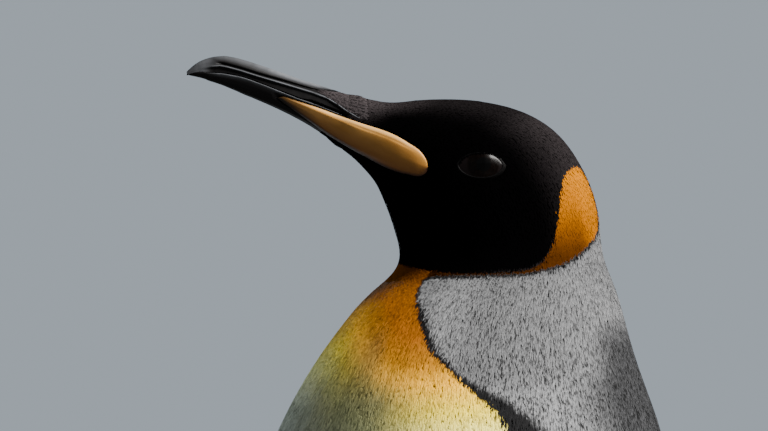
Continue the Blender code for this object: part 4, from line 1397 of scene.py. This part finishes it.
def make_claws(horn):
    """The six claws, evenly meshed."""
    for side in SIDES:
        for toe in ("inner", "middle", "outer"):
            name = f"claw_{side}_{toe}"
            piece = refined(f"{name}_horn", [name], CLAW_VOXEL, 3)
            points, _, _ = mesh_arrays(piece.data)
            low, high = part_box(name)
            put_values(piece, "wear_and_sheen", soft_step(-points[:, 1], -high.y, -low.y) * 0.7)
            dress(piece, horn, "claw_horn", name)


# ---------------------------------------------------------------- coat

# Length and width of the feathers in mm, at stations along the body.
FEATHER_STATIONS = (0, 3, 6, 7.8, 8.6, 9.3, 10.5, 11.6, 12.5, 14, 17, 20)
FEATHER_LENGTH = (11, 14, 13.5, 12, 9.0, 7.0, 5.8, 4.4, 3.8, 3.4, 2.6, 1.9)
FEATHER_WIDTH = (4, 4.4, 4.2, 3.1, 1.8, 1.25, 1.1, 0.95, 0.9, 0.88, 0.8, 0.7)
# How many feathers lie over one another at those stations.
FEATHER_LAYERS = (3.6, 3.6, 3.6, 4.0, 5.4, 6.6, 6.6, 6.2, 5.4, 4.5, 4.3, 4.3)
# No feather grows under horn or an eye this near, nor within this many lids' openings of an eye's middle,
# nor a short one on this much of the tail's end.
COVER_REACH, LIDS_CLEAR, TAIL_END_BARE = 9 * MM, 1.10, 14 * MM
# The stiff feathers of the tail: how many in a layer, in how many layers on each face, and their length,
# width and depth.
TAIL_FEATHERS, TAIL_LAYERS = 11, 2
TAIL_SIZE = (50 * MM, 8.5 * MM, 2 * MM)


def covered(roots, ways, trees, reach):
    """True where something stands over a root, closer than that reach."""
    hidden = np.zeros(len(roots), bool)
    for i, (root, way) in enumerate(zip(roots, ways)):
        place, out = Vector(root), Vector(way)
        hidden[i] = any(tree.ray_cast(place, out, reach)[0] is not None for tree in trees)
    return hidden


def calmed(normals, triangles, share, rounds):
    """Normals averaged with their neighbours' again and again, by each point's share."""
    start, end = (np.concatenate([triangles[:, k] for k in order]) for order in ((0, 1, 2), (1, 2, 0)))
    count = np.bincount(start, minlength=len(normals)) + 1
    calm = normals
    for _ in range(rounds):
        around = np.stack([np.bincount(start, calm[end, k], len(normals)) for k in range(3)], 1)
        mean = (around + calm) / count[:, None]
        calm = unit(calm * (1 - share[:, None]) + mean * share[:, None])
    return calm


def body_sizes(station, patch):
    """Length, width and depth of body feathers at a station, finer on the orange patch."""
    length = np.interp(station, FEATHER_STATIONS, FEATHER_LENGTH) * MM
    width = np.interp(station, FEATHER_STATIONS, FEATHER_WIDTH) * (1 - 0.3 * patch) * MM
    depth = np.interp(station, *COAT_DEPTH) * (1 - 0.68 * patch) * MM
    return np.stack([length, width, depth], 1)


def body_coat(skin, region, hard_trees, materials):
    """The coat of head, neck and trunk, in pieces by place."""
    points, normals, triangles = mesh_arrays(skin.data)
    # The solids have flat sides; the feathers of the trunk stand on rounder ones.
    normals = calmed(normals, triangles, soft_step(13.2 - body_place(points)[0], 0, 2.5), 70)
    surface = (points, normals, triangles)
    station, turn = body_place(points[triangles].mean(1))
    on_body = (region[triangles] == 0).all(1)
    near = body_marks(station, turn)
    ear = (near["patch_gap"] > 0) & (near["hood_gap"] < 0) & (turn > PATCH_START)
    size = body_sizes(station, ear)
    density = np.interp(station, FEATHER_STATIONS, FEATHER_LAYERS) / (size[:, 0] * size[:, 1])
    head = on_body & (station >= HEAD_FROM) & ~ear
    neck = on_body & (station >= NECK_FROM) & (station < HEAD_FROM) & ~ear
    trunk = on_body & (station < NECK_FROM)
    beside = (turn >= NECK_FRONT) & (turn < NECK_REAR)
    belly, low = turn < BACK_FROM, station < TRUNK_MIDDLE
    pieces = (
        ("coat_face", head & (station >= FACE_FROM), SLEEK_VANE, "head", "coat_black", 5),
        ("coat_head_rear", head & (station < FACE_FROM), SLEEK_VANE, "head", "coat_black", 5),
        ("coat_ear_patches", on_body & ear, SLEEK_VANE, "patch", "coat_orange", 5),
        ("coat_neck_front", neck & (turn < NECK_FRONT), SHORT_VANE, "neck", "coat_orange", 4.5),
        ("coat_neck_side", neck & beside, SHORT_VANE, "neck", "coat_grey", 5.5),
        ("coat_neck_rear", neck & (turn >= NECK_REAR), SHORT_VANE, "neck", "coat_grey", 5.5),
        ("coat_belly_low", trunk & belly & low, LONG_VANE, "trunk", "coat_white", 5),
        ("coat_belly_high", trunk & belly & ~low, LONG_VANE, "trunk", "coat_white", 5),
        ("coat_back_low", trunk & ~belly & low, LONG_VANE, "trunk", "coat_grey", 5),
        ("coat_back_high", trunk & ~belly & ~low, LONG_VANE, "trunk", "coat_grey", 5),
    )
    for name, wanted, vane, finish_name, slot, spread in pieces:
        root, normal, chosen = grown_roots(surface, wanted, density)
        if name == "coat_face":
            keep = ~covered(root, normal, hard_trees, COVER_REACH)
            # The blunt front of the head is covered by the feathers that lie on the bill.
            keep &= (normal[:, 1] > -0.80) | (root[:, 2] < 0.722)
            for side, way in SIDES.items():
                keep &= (lid_reach(root, side) > LIDS_CLEAR) | (root[:, 0] * way < 0)
            root, normal, chosen = (row[keep] for row in (root, normal, chosen))
        place, angle = body_place(root)
        side = np.where(root[:, 0] < 0, -1.0, 1.0)
        lie = body_lie(place, angle, side)
        stray = (rng.normal(0, 0.02, len(root)), rng.normal(0, 0.7, len(root)))

        def marks(at, corners, stray=stray):
            return body_marks(*body_place(at), [np.repeat(part, corners) for part in stray])

        flat = np.stack([0.5 + side * angle / 360 * 0.96, fitted(place)], 1)
        sizes, material = size[chosen], materials[finish_name]
        feather_coat(name, vane, root, normal, lie, sizes, marks, flat, material, slot, spread)


def bill_root_coat(bill, material):
    """The short feathers that reach forward on the bill: a wedge beside the ridge, and the chin."""
    sizes = ((3.0, 0.6, 0.32), (1.7, 0.6, 0.18))
    for piece, name, measures in zip(bill, ("coat_bill_wedge", "coat_chin"), sizes):
        surface = mesh_arrays(piece.data)
        middle = surface[0][surface[2]].mean(1) / MM
        if name == "coat_bill_wedge":
            wanted = middle[:, 2] > np.interp(middle[:, 1], *WEDGE_LOW)
            wanted &= middle[:, 2] < np.interp(middle[:, 1], *WEDGE_HIGH)
            wanted &= (middle[:, 1] > WEDGE_LOW[0][0]) & (middle[:, 1] < UNDER_HEAD + 0.5)
        else:
            wanted = middle[:, 1] > np.interp(middle[:, 2], *CHIN_EDGE)
        length, width, _ = np.array(measures) * MM
        root, normal, _ = grown_roots(surface, wanted, np.full(len(wanted), LAYERS / (length * width)))
        size = np.tile(np.array(measures) * MM, (len(root), 1))
        lie = np.tile(unit(np.array([0, 0.95, -0.31])), (len(root), 1))
        marks = plain_marks(len(root))
        marks["hood_gap"] += 40
        # The feathers of the wedge carry the hood's painted sheen in full.
        if name == "coat_bill_wedge":
            marks["nape"] += 1.0
        flat = np.stack([fitted(root[:, 1]), fitted(root[:, 2] + np.sign(root[:, 0]) * 0.03)], 1)
        feather_coat(name, SHORT_VANE, root, normal, lie, size, marks, flat, material, "coat_black", 9)


def flipper_coat(skin, region, material):
    """Scale-like feathers over both faces of each flipper."""
    surface = mesh_arrays(skin.data)
    triangles = surface[2]
    for number, side in ((1, "left"), (2, "right")):
        flipper = FLIPPERS[side]
        wanted = (region[triangles] == number).all(1)
        share, _ = flipper.place(surface[0][triangles].mean(1))
        length = np.interp(share, (0, 0.25, 1), (8, 5.4, 3.6)) * MM
        width = np.interp(share, (0, 0.25, 1), (3.4, 2.7, 2.0)) * MM
        root, normal, chosen = grown_roots(surface, wanted, LAYERS / (length * width))
        share, chord = flipper.place(root)
        outward = normal[:, 0] * flipper.side
        marks = flipper_marks(share, chord, outward)
        size = np.stack([length[chosen], width[chosen], np.full(len(root), FLIPPER_DEPTH)], 1)
        # The inner face goes on the left half of the unwrap and the outer one on the right.
        across = 0.25 + 0.5 * (outward > 0) + 0.22 * (np.clip(chord, 0, 1) - 0.5) * 2
        flat = np.stack([across, fitted(share)], 1)
        name, lie = f"coat_flipper_{side}", flipper.lie(root)
        feather_coat(name, SHORT_VANE, root, normal, lie, size, marks, flat, material, "flipper_slate", 4)


def tail_way():
    """The way that the tail runs, down from its root to its end."""
    low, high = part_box("tail")
    return unit(np.array([0, high.y - low.y, low.z - high.z]))


def small_coats(skin, region, material):
    """Feathers of both legs and the short coverts over the root of the tail."""
    surface = mesh_arrays(skin.data)
    triangles = surface[2]
    leg_way = unit(np.array([0, -0.12, -1.0]))
    for name, numbers, way, length, width, slot in (
        ("coat_legs", (3, 4), leg_way, 8, 3.0, "coat_white"),
        ("coat_tail_root", (5,), tail_way(), 12, 4.0, "tail_black"),
    ):
        wanted = np.isin(region[triangles], numbers).all(1)
        density = np.full(len(triangles), LAYERS / (length * width * MM * MM))
        root, normal, chosen = grown_roots(surface, wanted, density)
        if name == "coat_tail_root":
            kept = root[:, 1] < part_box("tail")[1].y - TAIL_END_BARE
            root, normal, chosen = (row[kept] for row in (root, normal, chosen))
        marks = skin_marks(root, normal, region[triangles[chosen, 0]])
        size = np.tile((length * MM, width * MM, 1.3 * MM), (len(root), 1))
        lie = np.tile(way, (len(root), 1))
        flat = np.stack([fitted(root[:, 0]) * 0.5 + 0.5 * (normal[:, 1] > 0), fitted(root[:, 2])], 1)
        feather_coat(name, LONG_VANE, root, normal, lie, size, marks, flat, material, slot, 7)


def tail_vanes(material):
    """The stiff tail feathers, fanned in two layers on each face of the tail's own wedge."""
    low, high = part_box("tail")
    way = tail_way()
    out = unit(np.array([0, -way[2], way[1]]))
    tree = tree_of(NODES["tail"])
    roots, lies, normals = [], [], []
    for face in (1, -1):
        for layer in range(TAIL_LAYERS):
            for k in range(TAIL_FEATHERS):
                share = (k + 0.5 * layer) / (TAIL_FEATHERS - 0.5) * 2 - 1
                across = share * (high.x - low.x) / 2 * 0.8
                start = np.array([across, (low.y + high.y) / 2, (low.z + high.z) / 2])
                start = start - way * (0.006 + 0.010 * layer)
                hit = tree.ray_cast(Vector(start + out * face * 0.05), Vector(-out * face))[0]
                if hit is None:
                    continue
                roots.append(np.array(hit) - out * face * 0.002)
                lies.append(way + np.array([share * 0.10, 0, 0]) - out * face * 0.09)
                normals.append(out * face)
    roots, lies, normals = (np.array(rows) for rows in (roots, lies, normals))
    size = np.tile(TAIL_SIZE, (len(roots), 1))
    flat = np.stack([fitted(roots[:, 0]), fitted(roots[:, 1])], 1)
    black = plain_marks(len(roots), 1.0)
    fan = (STIFF_VANE, roots, normals, lies, size, black, flat, material, "tail_black", 1.0)
    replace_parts(feather_coat("tail_feathers", *fan), "tail")


# ---------------------------------------------------------------- scene

CAMERA_AZIMUTH = radians(78)
CAMERA_DISTANCE = 3.0
CAMERA_WIDTH = 0.4224
# From the midpoint between the eyes to the middle of the view, in mm.
CAMERA_AIM = Vector((-10, -46.8, -28.4)) * MM


# Where each lamp stands from the point that all look at, and its size, power and colour.
LAMPS = {
    "key": (Vector((0.38, 0.63, 0.68)).normalized() * 3.1, 1.5, 640, (1.0, 0.98, 0.95)),
    "fill": (Vector((1.9, -1.6, 0.5)), 2.2, 3, (0.93, 0.96, 1.0)),
    "rim": (Vector((-0.88, -0.47, 0.08)) * 2.4, 1.2, 50, (0.80, 0.93, 1.0)),
}
LAMP_AIM = Vector((0, 0, 0.66))


def link_looking(name, data, place, way):
    """A camera or lamp at a place, looking one way."""
    made = bpy.data.objects.new(name, data)
    made.location = place
    made.rotation_mode = "QUATERNION"
    made.rotation_quaternion = way.to_track_quat("-Z", "Y")
    bpy.context.scene.collection.objects.link(made)
    return made


def make_camera():
    """A long lens, level, looking at the bird's left cheek from a little in front of its side."""
    between = sum((eye_middle(side) for side in SIDES), Vector()) / 2
    back = Vector((sin(CAMERA_AZIMUTH), -cos(CAMERA_AZIMUTH), 0))
    data = bpy.data.cameras.new("camera")
    data.sensor_width = 36
    data.lens = data.sensor_width * CAMERA_DISTANCE / CAMERA_WIDTH
    place = between + CAMERA_AIM + back * CAMERA_DISTANCE
    bpy.context.scene.camera = link_looking("camera", data, place, -back)


def make_light():
    """A large key high behind the left shoulder, a weak fill, a rim from the right and a pale surround."""
    for name, (from_aim, size, power, colour) in LAMPS.items():
        data = bpy.data.lights.new(name, "AREA")
        data.shape = "SQUARE"
        data.size = size
        data.energy = power
        data.color = colour
        place = LAMP_AIM + from_aim
        link_looking(name, data, place, LAMP_AIM - place)
    world = bpy.data.worlds.new("surround")
    bpy.context.scene.world = world
    world.use_nodes = True
    nodes = Nodes(world.node_tree)
    seen, lighting = world.node_tree.nodes["Background"], nodes.add("ShaderNodeBackground")
    for shader, colour, strength in ((seen, (0.36, 0.41, 0.46), 1.0), (lighting, (0.66, 0.86, 1.0), 0.10)):
        nodes.join(colour, shader.inputs["Color"])
        nodes.join(strength, shader.inputs["Strength"])
    either = nodes.add("ShaderNodeMixShader")
    seen_by = nodes.add("ShaderNodeLightPath").outputs["Is Camera Ray"]
    for source, socket in zip((seen_by, lighting.outputs[0], seen.outputs[0]), either.inputs):
        nodes.join(source, socket)
    nodes.join(either.outputs[0], world.node_tree.nodes["World Output"].inputs["Surface"])


def make_floor():
    """A round pale floor."""
    bm = bmesh.new()
    bmesh.ops.create_circle(bm, cap_ends=True, segments=128, radius=5)
    mesh = bpy.data.meshes.new("floor")
    bm.to_mesh(mesh)
    bm.free()
    floor = link("floor", mesh)
    floor.data.materials.append(floor_material())


# The soft bloom on the short feathers of the head.
VELVET = {"head": {"sheen_weight": 0.008, "sheen_roughness": 0.4, "sheen_tint": (0.55, 0.48, 0.46)}}


def main():
    make_camera()
    make_light()
    make_floor()

    skin, region = make_skin()
    dress(skin, plumage_material("skin_under_coat", specular_ior_level=0.0), "coat_white")
    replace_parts(skin, *(name for name in FLESH if name != "tail"))
    skin_tree = tree_of(skin)

    bill_horn = horn_material("bill_horn", (0.0036, 0.0033, 0.0034), (0.105, 0.110, 0.120), 0.15)
    bill = [make_upper_bill(bill_horn, skin_tree), make_lower_bill(bill_horn, skin_tree)]
    plates = make_plates(plate_material(), skin_tree)
    eyes = make_eyes(eye_material(), skin_tree)
    make_lids(skin_tree, lid_material())
    make_feet(bare_skin_material("foot_scutes", (0.010, 0.010, 0.011), (0.055, 0.053, 0.056), 520, 0.9))
    make_claws(horn_material("claw_horn", (0.012, 0.011, 0.011), (0.09, 0.085, 0.08), 0.2))

    coats = {
        place: plumage_material(f"plumage_{place}", specular_ior_level=shine, **VELVET.get(place, {}))
        for place, shine in (("head", 0.0), ("patch", 0.0), ("neck", 0.05), ("trunk", 0.1))
    }
    body_coat(skin, region, [tree_of(piece) for piece in (*bill, *plates, *eyes)], coats)
    bill_root_coat(bill, coats["head"])
    flipper_coat(skin, region, plumage_material("plumage_flipper", specular_ior_level=0.12))
    small_coats(skin, region, coats["trunk"])
    tail_vanes(plumage_material("plumage_tail", specular_ior_level=0.12))


main()
